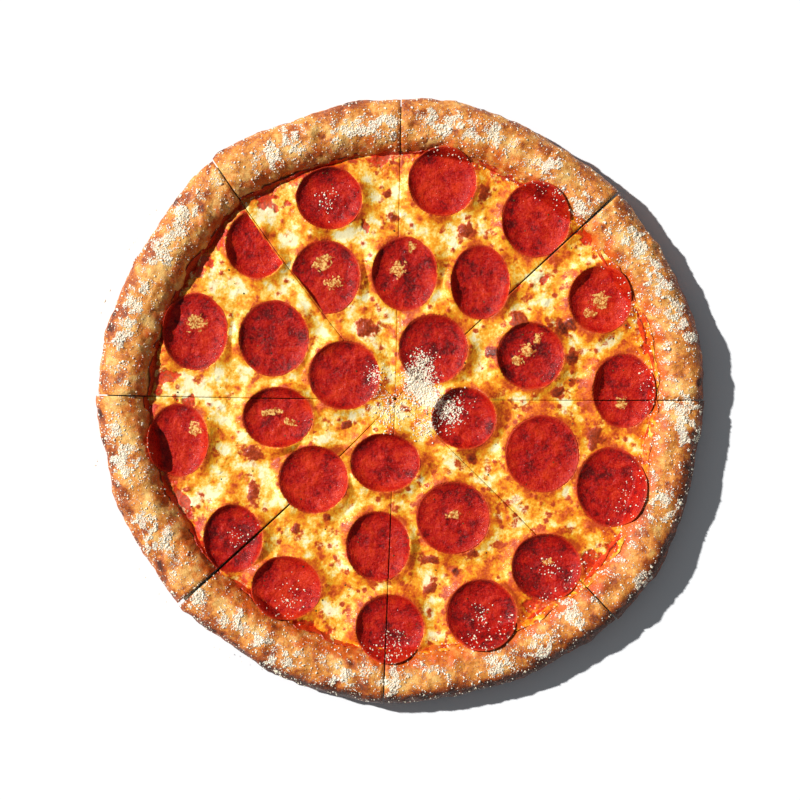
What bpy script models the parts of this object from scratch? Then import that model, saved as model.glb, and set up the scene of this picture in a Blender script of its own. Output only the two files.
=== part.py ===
"""A whole round pepperoni pizza, cut into eight slices that still lie together.

Everything is in metres with +Z up. The underside lies on z = 0, and the origin is in the
middle of the round. Angles are in degrees from +X, turning towards +Y. The slices are
counted in that order, starting at the cut that runs along +X.
"""
import math
import random
from dataclasses import dataclass

import bmesh
import bpy
from mathutils import Matrix, Vector, noise
from mathutils.bvhtree import BVHTree

MM = 0.001

# The round: where the cuts cross, and the heights of its layers
HUB = Vector((-2.25 * MM, 1.64 * MM, 0.0))
BED_HEIGHT = 6.0 * MM
SAUCE_THICKNESS = 1.0 * MM
CHEESE_LEVEL = 10.6 * MM
CHEESE_EDGE_THICKNESS = 1.3 * MM
LAYER_GAP = 0.3 * MM

# The raised rim, measured inwards from the outline
RIM_WIDTH = 32.0 * MM
CREST_INSET = 13.0 * MM
CREST_HEIGHT = 22.6 * MM
BELLY_HEIGHT = 9.0 * MM
FOOT_INSET = 7.0 * MM
SAUCE_CLIMB = 1.35 * MM
CHEESE_CLIMB = 0.7 * MM
SLOPE_POWER = 2.3
SLOPE_ROUNDING = 0.75
SHOULDER_FULLNESS = 0.8

# How much the dough and the toppings wander from those sizes
CREST_WAVE = 1.7 * MM
RIM_WIDTH_WAVE = 1.8 * MM
EDGE_WAVE = 0.45 * MM
DOUGH_LUMP = 0.7 * MM
CHEESE_LUMP = 0.55 * MM
RIM_WAVE_SCALE = 26.0 * MM
EDGE_WAVE_SCALE = 13.0 * MM
LUMP_SCALE = 17.0 * MM

# The knife cuts
CUT_GAP = 0.44 * MM
BOW_SKEW = 0.8
BOW_RADIUS = 178.0 * MM

# The pepperoni slices
PEPPERONI_RADIUS = 21.8 * MM
PEPPERONI_THICKNESS = 1.9 * MM
PEPPERONI_CLEARANCE = 0.4 * MM
CUP_LIFT = 1.0 * MM
CUP_PER_NARROWING = 0.28
CUP_POWER = 3.0
DISC_SIDES = 12
DISC_INNER_RING = 0.68

# The grated cheese
CLUMPS_ON_RIM = 7
CLUMPS_AT_HUB = 10
CLUMP_RADIUS = 2.7 * MM
CLUMP_SPREAD = 0.7 * MM
CLUMP_FLATNESS = 0.62
CLUMP_SINK = 0.1
CLUMP_CUT_CLEARANCE = 1.6 * MM

# How finely the wedges are divided
COLUMNS = 11
BED_STEPS = 5
SLOPE_STEPS = (0.1, 0.25, 0.45, 0.7, 1.0)
SHOULDER_ANGLES = (28.0, 48.0, 70.0)


@dataclass(frozen=True)
class Cut:
    """A knife cut from the hub to the outline."""
    angle: float
    bow: float
    opening: float


@dataclass(frozen=True)
class Disc:
    """A pepperoni slice: its middle, its half sizes in plan, and the cut that crosses it."""
    x: float
    y: float
    half_x: float
    half_y: float
    cut: int = -1
    keep: str = "both"


# bow is the sideways swing at mid length, and opening the gap at the outline, both in mm
CUTS = (
    Cut(-0.2, -0.5, 0.7),
    Cut(42.8, 0.0, 1.6),
    Cut(88.9, 0.0, 0.6),
    Cut(127.4, 3.4, 0.8),
    Cut(179.2, 0.6, 0.8),
    Cut(223.4, 2.2, 2.0),
    Cut(267.7, 0.0, 0.8),
    Cut(315.2, 2.0, 0.8),
)

# Distance of the outline from the hub at five places along each slice's crust, in mm
REACHES = (
    (181.1, 182.0, 180.4, 178.2, 179.0),
    (179.3, 176.8, 176.9, 178.0, 176.2),
    (176.1, 176.0, 174.2, 175.8, 178.6),
    (177.6, 173.6, 173.2, 173.8, 175.0),
    (176.8, 173.6, 174.6, 173.4, 175.2),
    (175.6, 174.2, 176.1, 176.8, 179.6),
    (179.2, 177.8, 179.2, 180.9, 183.0),
    (184.0, 184.4, 182.0, 179.8, 181.3),
)

# Each pepperoni slice as it lies, in mm
DISCS = (
    Disc(-41.2, 119.7, 19.7, 18.6),
    Disc(25.4, 129.4, 20.2, 20.5),
    Disc(-83.8, 92.5, 18.4, 20.2, cut=3, keep="left"),
    Disc(-43.3, 73.4, 20.5, 22.0, cut=3, keep="right"),
    Disc(3.1, 75.2, 19.4, 22.0),
    Disc(47.6, 70.3, 17.5, 22.2),
    Disc(80.3, 107.1, 20.2, 22.3, cut=1, keep="left"),
    Disc(118.1, 60.1, 18.6, 20.0),
    Disc(-120.0, 41.3, 19.2, 22.9),
    Disc(-73.8, 37.4, 20.7, 22.5),
    Disc(-32.3, 15.5, 21.2, 20.5),
    Disc(19.9, 31.2, 20.5, 20.6),
    Disc(77.1, 27.0, 19.8, 20.0),
    Disc(132.0, 6.4, 18.5, 22.2, cut=0),
    Disc(-71.4, -9.1, 20.9, 18.1, cut=4),
    Disc(-130.0, -22.6, 17.9, 21.8),
    Disc(38.2, -9.6, 18.9, 18.4),
    Disc(-50.4, -45.5, 20.5, 20.0),
    Disc(-8.4, -35.7, 20.7, 17.3),
    Disc(84.1, -30.6, 21.9, 22.8),
    Disc(124.7, -50.2, 20.5, 23.6),
    Disc(31.7, -68.3, 21.8, 21.5),
    Disc(-12.5, -84.9, 19.0, 20.8, cut=6),
    Disc(-97.7, -80.4, 17.6, 20.3, cut=5),
    Disc(-66.4, -109.4, 20.7, 18.8),
    Disc(86.4, -97.2, 20.6, 20.0),
    Disc(-5.5, -133.0, 20.3, 20.1, cut=6),
    Disc(48.4, -125.1, 20.9, 20.8),
)


def new_material(name, colour, roughness):
    """A Principled material of one colour."""
    material = bpy.data.materials.new(name)
    material.use_nodes = True
    shader = material.node_tree.nodes["Principled BSDF"]
    shader.inputs["Base Color"].default_value = (*colour, 1.0)
    shader.inputs["Roughness"].default_value = roughness
    shader.inputs["Metallic"].default_value = 0.0
    return material


def new_object(name, bm, material, parent, location):
    """Turns a bmesh into a named object that stands at a location under a parent."""
    bmesh.ops.recalc_face_normals(bm, faces=bm.faces)
    mesh = bpy.data.meshes.new(name)
    bm.to_mesh(mesh)
    bm.free()
    mesh.shade_smooth()
    mesh.set_sharp_from_angle(angle=math.radians(50.0))
    mesh.materials.append(material)
    item = bpy.data.objects.new(name, mesh)
    bpy.context.scene.collection.objects.link(item)
    item.parent = parent
    item.location = location
    return item


def new_empty(name, parent=None):
    """A guide that carries other objects."""
    empty = bpy.data.objects.new(name, None)
    bpy.context.scene.collection.objects.link(empty)
    empty.parent = parent
    return empty


def wander(place, scale, seed):
    """Smooth noise from -1 to 1 at a place in plan."""
    return noise.noise(Vector((place[0] / scale, place[1] / scale, seed)))


def smooth_between(values, share):
    """Reads a row of evenly spaced values along a smooth curve through them."""
    spans = len(values) - 1
    step = min(int(share * spans), spans - 1)
    t = share * spans - step
    before = values[max(step - 1, 0)]
    start, end = values[step], values[step + 1]
    after = values[min(step + 2, spans)]
    leave, arrive = 0.5 * (end - before), 0.5 * (after - start)
    cubic = 2.0 * start - 2.0 * end + leave + arrive
    square = -3.0 * start + 3.0 * end - 2.0 * leave - arrive
    return ((cubic * t + square) * t + leave) * t + start


def swing(cut, distance):
    """Sideways swing of a cut at a distance from the hub."""
    t = (max(distance, 0.0) / BOW_RADIUS) ** BOW_SKEW
    return cut.bow * MM * 4.0 * t * (1.0 - t)


def half_gap(cut, distance):
    """Half of what a cut has opened beyond its gap at the hub."""
    extra = max(cut.opening * MM - CUT_GAP, 0.0)
    return 0.5 * extra * min(distance / BOW_RADIUS, 1.0)


class Wedge:
    """The plan and the section of one slice, read at a share of its angle."""

    def __init__(self, index):
        self.index = index
        self.first = CUTS[index]
        self.second = CUTS[(index + 1) % len(CUTS)]
        self.start = math.radians(self.first.angle)
        turn = (self.second.angle - self.first.angle) % 360.0
        self.turn = math.radians(turn)
        middle = self.start + 0.5 * self.turn
        back = 0.5 * CUT_GAP / math.sin(0.5 * self.turn)
        self.tip = Vector((math.cos(middle), math.sin(middle), 0.0)) * back

    def plan(self, share, distance):
        """The place at a distance from the tip, beside the hub."""
        angle = self.start + share * self.turn
        outward = Vector((math.cos(angle), math.sin(angle), 0.0))
        aside = Vector((-outward.y, outward.x, 0.0))
        at_first = swing(self.first, distance) + half_gap(self.first, distance)
        at_second = swing(self.second, distance) - half_gap(self.second, distance)
        lateral = at_first + share * (at_second - at_first)
        return self.tip + outward * distance + aside * lateral

    def reach(self, share):
        """Distance of the outline from the tip."""
        return smooth_between(REACHES[self.index], share) * MM - self.tip.length

    def on_outline(self, share):
        """The place on the outline, counted from the origin, that the waves are read at."""
        return HUB + self.plan(share, self.reach(share))

    def rim_width(self, share):
        place = self.on_outline(share)
        return RIM_WIDTH + RIM_WIDTH_WAVE * wander(place, RIM_WAVE_SCALE, 3.1)

    def crest_height(self, share):
        place = self.on_outline(share)
        return CREST_HEIGHT + CREST_WAVE * wander(place, RIM_WAVE_SCALE, 7.7)

    def slope_inset(self, share, climb):
        """Inset of the place that is a share of the way up the rim's inner slope."""
        width = self.rim_width(share)
        return width - climb * (width - CREST_INSET)

    def slope_height(self, share, climb):
        """Dough height that share of the way up."""
        rise = self.crest_height(share) - BED_HEIGHT
        return BED_HEIGHT + rise * (1.0 - (1.0 - climb) ** SLOPE_POWER) ** SLOPE_ROUNDING

    def dough_height(self, share, inset):
        """Height of the dough's faceted top at an inset from the outline."""
        width = self.rim_width(share)
        climb = (width - inset) / (width - CREST_INSET)
        steps = (0.0,) + SLOPE_STEPS
        for low, high in zip(steps, steps[1:]):
            if climb <= high:
                part = max(climb - low, 0.0) / (high - low)
                below = self.slope_height(share, low)
                return below + part * (self.slope_height(share, high) - below)
        return self.slope_height(share, 1.0)


def wedge_solid(stations, pointed):
    """A plain wedge: a strip of faces spun about +Z through one radian.

    A vertex's distance from the axis is its station's number, its angle the share of the
    slice, and its height 0 below and 1 on top. A pointed wedge ends in one edge.
    """
    bm = bmesh.new()
    below = [bm.verts.new((number, 0.0, 0.0)) for number in range(stations)]
    above = [bm.verts.new((number, 0.0, 1.0)) for number in range(stations)]
    for number in range(stations - 1):
        bm.faces.new((below[number], below[number + 1], above[number + 1], above[number]))
    if pointed:
        end = bm.verts.new((stations, 0.0, 0.5))
        bm.faces.new((below[-1], end, above[-1]))
    strip = bm.verts[:] + bm.edges[:] + bm.faces[:]
    bmesh.ops.spin(bm, geom=strip, axis=(0.0, 0.0, 1.0), cent=(0.0, 0.0, 0.0), steps=COLUMNS, angle=1.0)
    bmesh.ops.remove_doubles(bm, verts=bm.verts, dist=0.01)
    return bm


def lay_out(bm, place):
    """Moves each vertex of a plain wedge to place(share, station, level)."""
    for vert in bm.verts:
        station = round(math.hypot(vert.co.x, vert.co.y))
        share = math.atan2(vert.co.y, vert.co.x) if station else 0.5
        vert.co = place(share, station, vert.co.z)
    bmesh.ops.triangulate(bm, faces=bm.faces)
    return bm


def crust_mesh(wedge):
    """The dough: a flat bed that climbs to a crest and rounds over to the underside."""
    shoulders = len(SHOULDER_ANGLES)
    slope_from = BED_STEPS
    slope_to = slope_from + len(SLOPE_STEPS)
    stations = slope_to + shoulders + 1

    def section(share, station, level):
        """Inset from the outline and height of one vertex."""
        if station <= slope_to:
            climb = SLOPE_STEPS[station - slope_from - 1]
            inset = wedge.slope_inset(share, climb)
            return inset, wedge.slope_height(share, climb) if level > 0.5 else 0.0
        if station == stations:
            return 0.0, BELLY_HEIGHT
        number = station - slope_to - 1
        angle = math.radians(SHOULDER_ANGLES[number])
        if level > 0.5:
            inset = CREST_INSET * (1.0 - math.sin(angle) ** SHOULDER_FULLNESS)
            rise = wedge.crest_height(share) - BELLY_HEIGHT
            return inset, BELLY_HEIGHT + rise * math.cos(angle) ** SHOULDER_FULLNESS
        if number == 0:
            return FOOT_INSET, 0.0
        return FOOT_INSET * (1.0 - math.sin(angle)), BELLY_HEIGHT * (1.0 - math.cos(angle))

    def place(share, station, level):
        reach = wedge.reach(share)
        if station <= slope_from:
            distance = (reach - wedge.rim_width(share)) * station / BED_STEPS
            point = wedge.plan(share, distance)
            point.z = BED_HEIGHT if level > 0.5 else 0.0
            return point
        inset, height = section(share, station, level)
        point = wedge.plan(share, reach - inset)
        point.z = height
        if height > BED_HEIGHT and inset < CREST_INSET + 4.0 * MM:
            point.z += DOUGH_LUMP * wander(HUB + point, LUMP_SCALE, 1.3)
        return point

    return lay_out(wedge_solid(stations, pointed=True), place)


def layer_mesh(wedge, base_lift, past_foot, seed, top):
    """A layer on the bed that stops at a wavy edge, a little past the foot of the rim's slope.

    base_lift is the height of its underside over the dough. top gives the height of its
    upper face from the place, the height of its underside, and whether this is the edge.
    """
    stations = BED_STEPS + 2

    def place(share, station, level):
        reach = wedge.reach(share)
        if station <= BED_STEPS:
            distance = (reach - wedge.rim_width(share)) * station / BED_STEPS
            underside = BED_HEIGHT + base_lift
        else:
            outline = wedge.on_outline(share)
            inset = wedge.rim_width(share) - past_foot + EDGE_WAVE * wander(outline, EDGE_WAVE_SCALE, seed)
            distance = reach - inset
            underside = wedge.dough_height(share, inset) + base_lift
        point = wedge.plan(share, distance)
        point.z = underside
        if level > 0.5:
            point.z = top(HUB + point, underside, station == stations - 1)
        return point

    return lay_out(wedge_solid(stations, pointed=False), place)


def sauce_mesh(wedge):
    """The thin red layer, which shows in a line past the cheese."""
    def top(place, underside, at_edge):
        return underside + SAUCE_THICKNESS * (0.8 if at_edge else 1.0)

    return layer_mesh(wedge, LAYER_GAP, SAUCE_CLIMB, 4.4, top)


def cheese_mesh(wedge):
    """The melted layer, uneven on top and thin at its edge."""
    base_lift = 2.0 * LAYER_GAP + SAUCE_THICKNESS

    def top(place, underside, at_edge):
        lump = CHEESE_LUMP * wander(place, LUMP_SCALE, 9.2)
        if at_edge:
            return underside + CHEESE_EDGE_THICKNESS + 0.3 * lump
        return CHEESE_LEVEL + lump

    return layer_mesh(wedge, base_lift, CHEESE_CLIMB, 5.9, top)


def fuse(item, pieces):
    """Joins small pieces to an object in one union, and removes them."""
    group = bpy.data.collections.new(item.name + "_grated")
    for piece in pieces:
        bpy.context.scene.collection.objects.unlink(piece)
        group.objects.link(piece)
    bpy.context.scene.collection.children.link(group)
    union = item.modifiers.new("grated", "BOOLEAN")
    union.operation = "UNION"
    union.operand_type = "COLLECTION"
    union.collection = group
    union.solver = "EXACT"
    bpy.context.view_layer.objects.active = item
    bpy.context.view_layer.update()
    bpy.ops.object.modifier_apply(modifier=union.name)
    for piece in pieces:
        bpy.data.objects.remove(piece)
    bpy.data.collections.remove(group)
    drop_scraps(item)


def drop_scraps(item):
    """Keeps an object's largest connected body and removes any crumb beside it."""
    bm = bmesh.new()
    bm.from_mesh(item.data)
    bodies = []
    left = set(bm.verts)
    while left:
        body = set()
        edge_of_body = [left.pop()]
        while edge_of_body:
            vert = edge_of_body.pop()
            body.add(vert)
            around = {edge.other_vert(vert) for edge in vert.link_edges} & left
            left -= around
            edge_of_body.extend(around)
        bodies.append(body)
    bodies.sort(key=len)
    for body in bodies[:-1]:
        bmesh.ops.delete(bm, geom=list(body), context="VERTS")
    bm.to_mesh(item.data)
    bm.free()


def surface_of(items):
    """One searchable surface of several objects, in the model's own frame."""
    bpy.context.view_layer.update()
    bm = bmesh.new()
    for item in items:
        copy = item.data.copy()
        copy.transform(item.matrix_world)
        bm.from_mesh(copy)
        bpy.data.meshes.remove(copy)
    bm.normal_update()
    tree = BVHTree.FromBMesh(bm)
    bm.free()
    return tree


def height_of(surface, x, y, around=0.0):
    """Highest point of a surface over a place, or over a small cross round it."""
    best = 0.0
    for step_x, step_y in ((0, 0), (1, 0), (-1, 0), (0, 1), (0, -1)):
        start = Vector((x + step_x * around, y + step_y * around, 0.1))
        hit = surface.ray_cast(start, Vector((0.0, 0.0, -1.0)))[0]
        if hit is not None:
            best = max(best, hit.z)
        if around == 0.0:
            break
    return best


def covered(x, y, margin):
    """Whether a place lies under a pepperoni slice."""
    for disc in DISCS:
        across = (x - disc.x * MM) / (disc.half_x * MM + margin)
        along = (y - disc.y * MM) / (disc.half_y * MM + margin)
        if across * across + along * along < 1.0:
            return True
    return False


def new_clump(name, place, surface, parent, material, draw):
    """A crumbled lump of grated cheese, half sunk in what it lies on."""
    radius = CLUMP_RADIUS + CLUMP_SPREAD * (2.0 * draw.random() - 1.0)
    bm = bmesh.new()
    bmesh.ops.create_icosphere(bm, subdivisions=1, radius=radius)
    stretch = Matrix.Diagonal((1.0 + 0.35 * draw.random(), 1.0, CLUMP_FLATNESS, 1.0))
    bmesh.ops.transform(bm, matrix=stretch, verts=bm.verts)
    bmesh.ops.rotate(bm, matrix=Matrix.Rotation(draw.random() * math.tau, 3, "Z"), verts=bm.verts)
    height = height_of(surface, place.x, place.y) + CLUMP_SINK * radius
    spot = Vector((place.x, place.y, height)) - HUB
    return new_object(name, bm, material, parent, spot)


def scatter(wedge, item, amount, low, high, draw, material, from_rim):
    """Fuses clumps to a slice's crust or cheese, between two distances, clear of its cuts."""
    surface = surface_of([item])
    clumps = []
    tries = 0
    while len(clumps) < amount and tries < 40 * amount:
        tries += 1
        share = draw.random()
        distance = low + (high - low) * draw.random()
        if from_rim:
            distance = wedge.reach(share) - distance
        side = min(share, 1.0 - share) * wedge.turn * distance
        place = HUB + wedge.plan(share, distance)
        size = CLUMP_RADIUS + CLUMP_SPREAD
        crowded = any((clump.location + HUB - place).xy.length < 1.5 * size for clump in clumps)
        if side < 1.35 * size + CLUMP_CUT_CLEARANCE or crowded or covered(place.x, place.y, 1.5 * size):
            continue
        name = item.name + "_clump_" + str(len(clumps))
        clumps.append(new_clump(name, place, surface, item.parent, material, draw))
    if clumps:
        fuse(item, clumps)


def disc_plan(disc, angle, ring):
    """A place on a pepperoni slice, as a share of its half sizes."""
    return Vector((disc.half_x * MM * ring * math.cos(angle), disc.half_y * MM * ring * math.sin(angle), 0.0))


def disc_lift(disc, angle, ring):
    """How far the cupped slice stands over its middle there."""
    radius = PEPPERONI_RADIUS
    lift_x = CUP_LIFT + CUP_PER_NARROWING * math.sqrt(max(radius ** 2 - (disc.half_x * MM) ** 2, 0.0))
    lift_y = CUP_LIFT + CUP_PER_NARROWING * math.sqrt(max(radius ** 2 - (disc.half_y * MM) ** 2, 0.0))
    lift = lift_x * math.cos(angle) ** 2 + lift_y * math.sin(angle) ** 2
    return lift * ring ** CUP_POWER


def disc_mesh(disc, surface):
    """A cupped slice of sausage that follows what it lies on."""
    bm = bmesh.new()
    centre = Vector((disc.x * MM, disc.y * MM, 0.0))
    middle = height_of(surface, centre.x, centre.y, 2.0 * MM)
    outline = ((0.0, 0.0), (DISC_INNER_RING, 0.0), (1.0, 0.0), (1.0, 1.0), (DISC_INNER_RING, 1.0), (0.0, 1.0))
    profile = [bm.verts.new((ring, 0.0, level)) for ring, level in outline]
    for first, second in zip(profile, profile[1:]):
        bm.edges.new((first, second))
    bmesh.ops.spin(
        bm,
        geom=bm.verts[:] + bm.edges[:],
        axis=(0.0, 0.0, 1.0),
        cent=(0.0, 0.0, 0.0),
        steps=DISC_SIDES,
        angle=math.tau,
        use_merge=True,
    )
    bmesh.ops.remove_doubles(bm, verts=bm.verts, dist=0.001)
    for vert in bm.verts:
        ring = math.hypot(vert.co.x, vert.co.y)
        angle = math.atan2(vert.co.y, vert.co.x)
        thickness = PEPPERONI_THICKNESS * vert.co.z
        spot = disc_plan(disc, angle, ring)
        under = height_of(surface, centre.x + spot.x, centre.y + spot.y, 1.5 * MM)
        spot.z = max(under, middle + disc_lift(disc, angle, ring)) + PEPPERONI_CLEARANCE + thickness
        vert.co = spot
    bmesh.ops.triangulate(bm, faces=bm.faces)
    bmesh.ops.recalc_face_normals(bm, faces=bm.faces)
    settle(bm, centre, surface)
    return bm


def settle(bm, centre, surface):
    """Raises a slice until its whole underside is clear of what it lies on."""
    short = 0.0
    steps = 6
    for face in bm.faces:
        if face.normal.z > -0.1:
            continue
        a, b, c = (vert.co for vert in face.verts)
        for i in range(steps + 1):
            for j in range(steps + 1 - i):
                spot = a + (b - a) * (i / steps) + (c - a) * (j / steps)
                under = height_of(surface, centre.x + spot.x, centre.y + spot.y)
                short = max(short, under + PEPPERONI_CLEARANCE - spot.z)
    bmesh.ops.translate(bm, vec=(0.0, 0.0, short), verts=bm.verts)


def cut_plane(cut, centre):
    """Where a cut passes a place, and the direction to its left."""
    angle = math.radians(cut.angle)
    outward = Vector((math.cos(angle), math.sin(angle), 0.0))
    left = Vector((-outward.y, outward.x, 0.0))
    distance = (centre - HUB).dot(outward)
    return HUB + outward * distance + left * swing(cut, distance), left


def keep_side(bm, centre, cut, side):
    """Keeps the part of a slice to one side of a cut, half a gap away from it."""
    point, left = cut_plane(cut, centre)
    away = left if side == "left" else -left
    distance = (centre - HUB).length
    edge = point + away * (0.5 * CUT_GAP + half_gap(cut, distance)) - centre
    bmesh.ops.bisect_plane(
        bm,
        geom=bm.verts[:] + bm.edges[:] + bm.faces[:],
        dist=1e-6,
        plane_co=edge,
        plane_no=away,
        clear_inner=True,
    )
    rim = [edge for edge in bm.edges if edge.is_boundary]
    bmesh.ops.holes_fill(bm, edges=rim, sides=0)
    bmesh.ops.triangulate(bm, faces=bm.faces)


def add_disc(number, disc, surface, parent, material):
    """One pepperoni slice, or its two halves where a cut goes through it."""
    centre = Vector((disc.x * MM, disc.y * MM, 0.0))
    name = "pepperoni_" + str(number).zfill(2)
    sides = {"both": ("left", "right")}.get(disc.keep, (disc.keep,))
    if disc.cut < 0:
        new_object(name, disc_mesh(disc, surface), material, parent, centre)
        return
    for side in sides:
        bm = disc_mesh(disc, surface)
        keep_side(bm, centre, CUTS[disc.cut], side)
        label = name + "_" + side if len(sides) > 1 else name
        new_object(label, bm, material, parent, centre)


def main():
    """Builds the crusts with their layers, and then the pepperoni on them."""
    for item in list(bpy.data.objects):
        bpy.data.objects.remove(item)
    dough = new_material("baked_dough", (0.62, 0.31, 0.09), 0.75)
    sauce = new_material("tomato_sauce", (0.50, 0.06, 0.02), 0.35)
    cheese = new_material("melted_cheese", (0.85, 0.58, 0.18), 0.4)
    meat = new_material("pepperoni", (0.42, 0.04, 0.02), 0.35)
    whole = new_empty("pizza")
    draw = random.Random(11)
    layers = []
    for index in range(len(CUTS)):
        wedge = Wedge(index)
        number = str(index + 1)
        slice_empty = new_empty("slice_" + number, whole)
        crust = new_object("crust_" + number, crust_mesh(wedge), dough, slice_empty, HUB)
        new_object("sauce_" + number, sauce_mesh(wedge), sauce, slice_empty, HUB)
        topping = new_object("cheese_" + number, cheese_mesh(wedge), cheese, slice_empty, HUB)
        bpy.context.view_layer.update()
        scatter(wedge, crust, CLUMPS_ON_RIM, 6.0 * MM, 22.0 * MM, draw, dough, True)
        if index < 2:
            scatter(wedge, topping, CLUMPS_AT_HUB // 2, 8.0 * MM, 60.0 * MM, draw, cheese, False)
        layers += [crust, topping]
    surface = surface_of(layers)
    toppings = new_empty("toppings", whole)
    for number, disc in enumerate(DISCS, 1):
        add_disc(number, disc, surface, toppings, meat)


main()
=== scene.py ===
"""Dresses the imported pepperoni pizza: dough, sauce, melted cheese, pepperoni and grated cheese."""

import logging
import math
from contextlib import contextmanager
from dataclasses import dataclass, field
from enum import Enum
from functools import lru_cache
from typing import Iterator, Sequence

import bmesh
import bpy
import numpy as np
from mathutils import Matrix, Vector, noise
from mathutils.bvhtree import BVHTree


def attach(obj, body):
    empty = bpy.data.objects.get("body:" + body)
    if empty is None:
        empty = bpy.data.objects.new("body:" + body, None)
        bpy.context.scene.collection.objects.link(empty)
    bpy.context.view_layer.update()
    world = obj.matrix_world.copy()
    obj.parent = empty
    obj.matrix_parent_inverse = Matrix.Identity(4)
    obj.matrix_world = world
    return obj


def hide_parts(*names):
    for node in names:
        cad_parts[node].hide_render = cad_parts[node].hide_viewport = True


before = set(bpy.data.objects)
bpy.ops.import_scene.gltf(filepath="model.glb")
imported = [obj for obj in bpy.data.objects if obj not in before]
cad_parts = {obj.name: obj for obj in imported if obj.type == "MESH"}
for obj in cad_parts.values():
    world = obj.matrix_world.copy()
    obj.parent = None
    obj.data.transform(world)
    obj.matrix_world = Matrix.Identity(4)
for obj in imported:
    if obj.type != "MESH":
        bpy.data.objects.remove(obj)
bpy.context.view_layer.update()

LOG = logging.getLogger("pizza")

MM = 0.001
BODY = "root"

# Where the photograph's pixels lie on the pizza
PIXEL = 0.588 * MM
PIXEL_X = 399.3
PIXEL_Y = 401.8

# The sizes that the solids have too
HUB = (-2.25 * MM, 1.64 * MM)
BED_HEIGHT = 6.0 * MM
CHEESE_LEVEL = 10.6 * MM
RIM_WIDTH = 32.0 * MM
RIM_WIDTH_WAVE = 1.8 * MM
CREST_INSET = 13.0 * MM
CREST_HEIGHT = 22.6 * MM
CREST_WAVE = 1.7 * MM
BELLY_HEIGHT = 9.0 * MM
FOOT_INSET = 7.0 * MM
RIM_WAVE_SCALE = 26.0 * MM
LUMP_SCALE = 17.0 * MM
DOUGH_LUMP = 0.7 * MM
CHEESE_LUMP = 0.55 * MM
CUT_GAP = 0.44 * MM
BOW_SKEW = 0.8
BOW_RADIUS = 178.0 * MM
PEPPERONI_RADIUS = 21.8 * MM
CUP_PER_NARROWING = 0.28
SLOPE_ROUNDING = 0.75
SHOULDER_FULLNESS = 0.8

# The rim's slope is fuller than in the solids, and the pepperoni cups up more sharply
SLOPE_POWER = 3.0
CUP_LIFT = 1.7 * MM
CUP_POWER = 5.5

# How far the pepperoni has sunk into the cheese, and how thick it is
SINK = 1.6 * MM
SINK_PER_NARROWING = 0.55
DEEPEST_SINK = 3.4 * MM
SAUSAGE_THICKNESS = 1.9 * MM

# Layers never touch by less than this
CLEARANCE = 0.3 * MM

# The distances from the middle at which patterns along the rim and along its foot keep their size
RIM_UNROLL = 170.0 * MM
FOOT_UNROLL = 150.0 * MM

# Corners closer than this are one corner
SAME_PLACE = 0.001 * MM


def from_photo(column: float, row: float) -> tuple[float, float]:
    """Finds the place on the pizza that a pixel of the photograph shows.

    Args:
        column: the pixel's distance from the picture's left edge.
        row: the pixel's distance from the picture's top edge.

    Returns:
        The place's x and y in metres.
    """
    return (column - PIXEL_X) * PIXEL, (PIXEL_Y - row) * PIXEL


def ease(values: np.ndarray, low: float, high: float) -> np.ndarray:
    """Turns values into a soft step.

    Args:
        values: the numbers to step.
        low: where the step is still 0.
        high: where the step has reached 1.

    Returns:
        Numbers from 0 to 1.
    """
    share = np.clip((values - low) / (high - low), 0.0, 1.0)
    return share * share * (3.0 - 2.0 * share)


def soft_max(first: np.ndarray, second: np.ndarray, soft: float) -> np.ndarray:
    """The larger of two heights, with a fillet where they cross."""
    return np.logaddexp(first / soft, second / soft) * soft


def fade(part: np.ndarray) -> np.ndarray:
    """The blend across one cell of a lattice, from 0 to 1."""
    return part * part * part * (part * (part * 6.0 - 15.0) + 10.0)


def hashed(column: np.ndarray, row: np.ndarray, seed: int) -> np.ndarray:
    """Gives each cell of a lattice a number that is the same on every run.

    Args:
        column: whole numbers across.
        row: whole numbers up.
        seed: another seed gives other numbers.

    Returns:
        Numbers from 0 to 1.
    """
    mixed = (column * 374761393 + row * 668265263 + seed * 1442695041) & 0x7FFFFFFF
    mixed = ((mixed ^ (mixed >> 13)) * 1274126177) & 0x7FFFFFFF
    mixed = ((mixed ^ (mixed >> 15)) * 668265263) & 0x7FFFFFFF
    return ((mixed ^ (mixed >> 16)) & 0xFFFFFF) / float(0xFFFFFF)


def ripple(x: np.ndarray, y: np.ndarray, size: float, seed: int, layers: int = 3) -> np.ndarray:
    """Smooth random relief, in layers that each halve in size and in depth.

    Args:
        x: places across, in metres.
        y: places up, in metres.
        size: the width of the widest waves, in metres.
        seed: another seed gives another relief.
        layers: how many finer layers are added up.

    Returns:
        Numbers from about -1 to 1.
    """
    total = np.zeros_like(x)
    depth = 1.0
    for layer in range(layers):
        turn = 0.7 * layer
        across = (x * math.cos(turn) - y * math.sin(turn)) / size
        up = (x * math.sin(turn) + y * math.cos(turn)) / size
        column = np.floor(across).astype(np.int64)
        row = np.floor(up).astype(np.int64)
        dx, dy = across - column, up - row
        fade_x, fade_y = fade(dx), fade(dy)

        def corner(i: int, j: int) -> np.ndarray:
            """The pull of one corner of the cell."""
            angle = hashed(column + i, row + j, seed + layer) * math.tau
            return np.cos(angle) * (dx - i) + np.sin(angle) * (dy - j)

        low = corner(0, 0) * (1.0 - fade_x) + corner(1, 0) * fade_x
        high = corner(0, 1) * (1.0 - fade_x) + corner(1, 1) * fade_x
        total += 1.5 * depth * (low * (1.0 - fade_y) + high * fade_y)
        depth, size = 0.5 * depth, 0.5 * size
    return total


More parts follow.
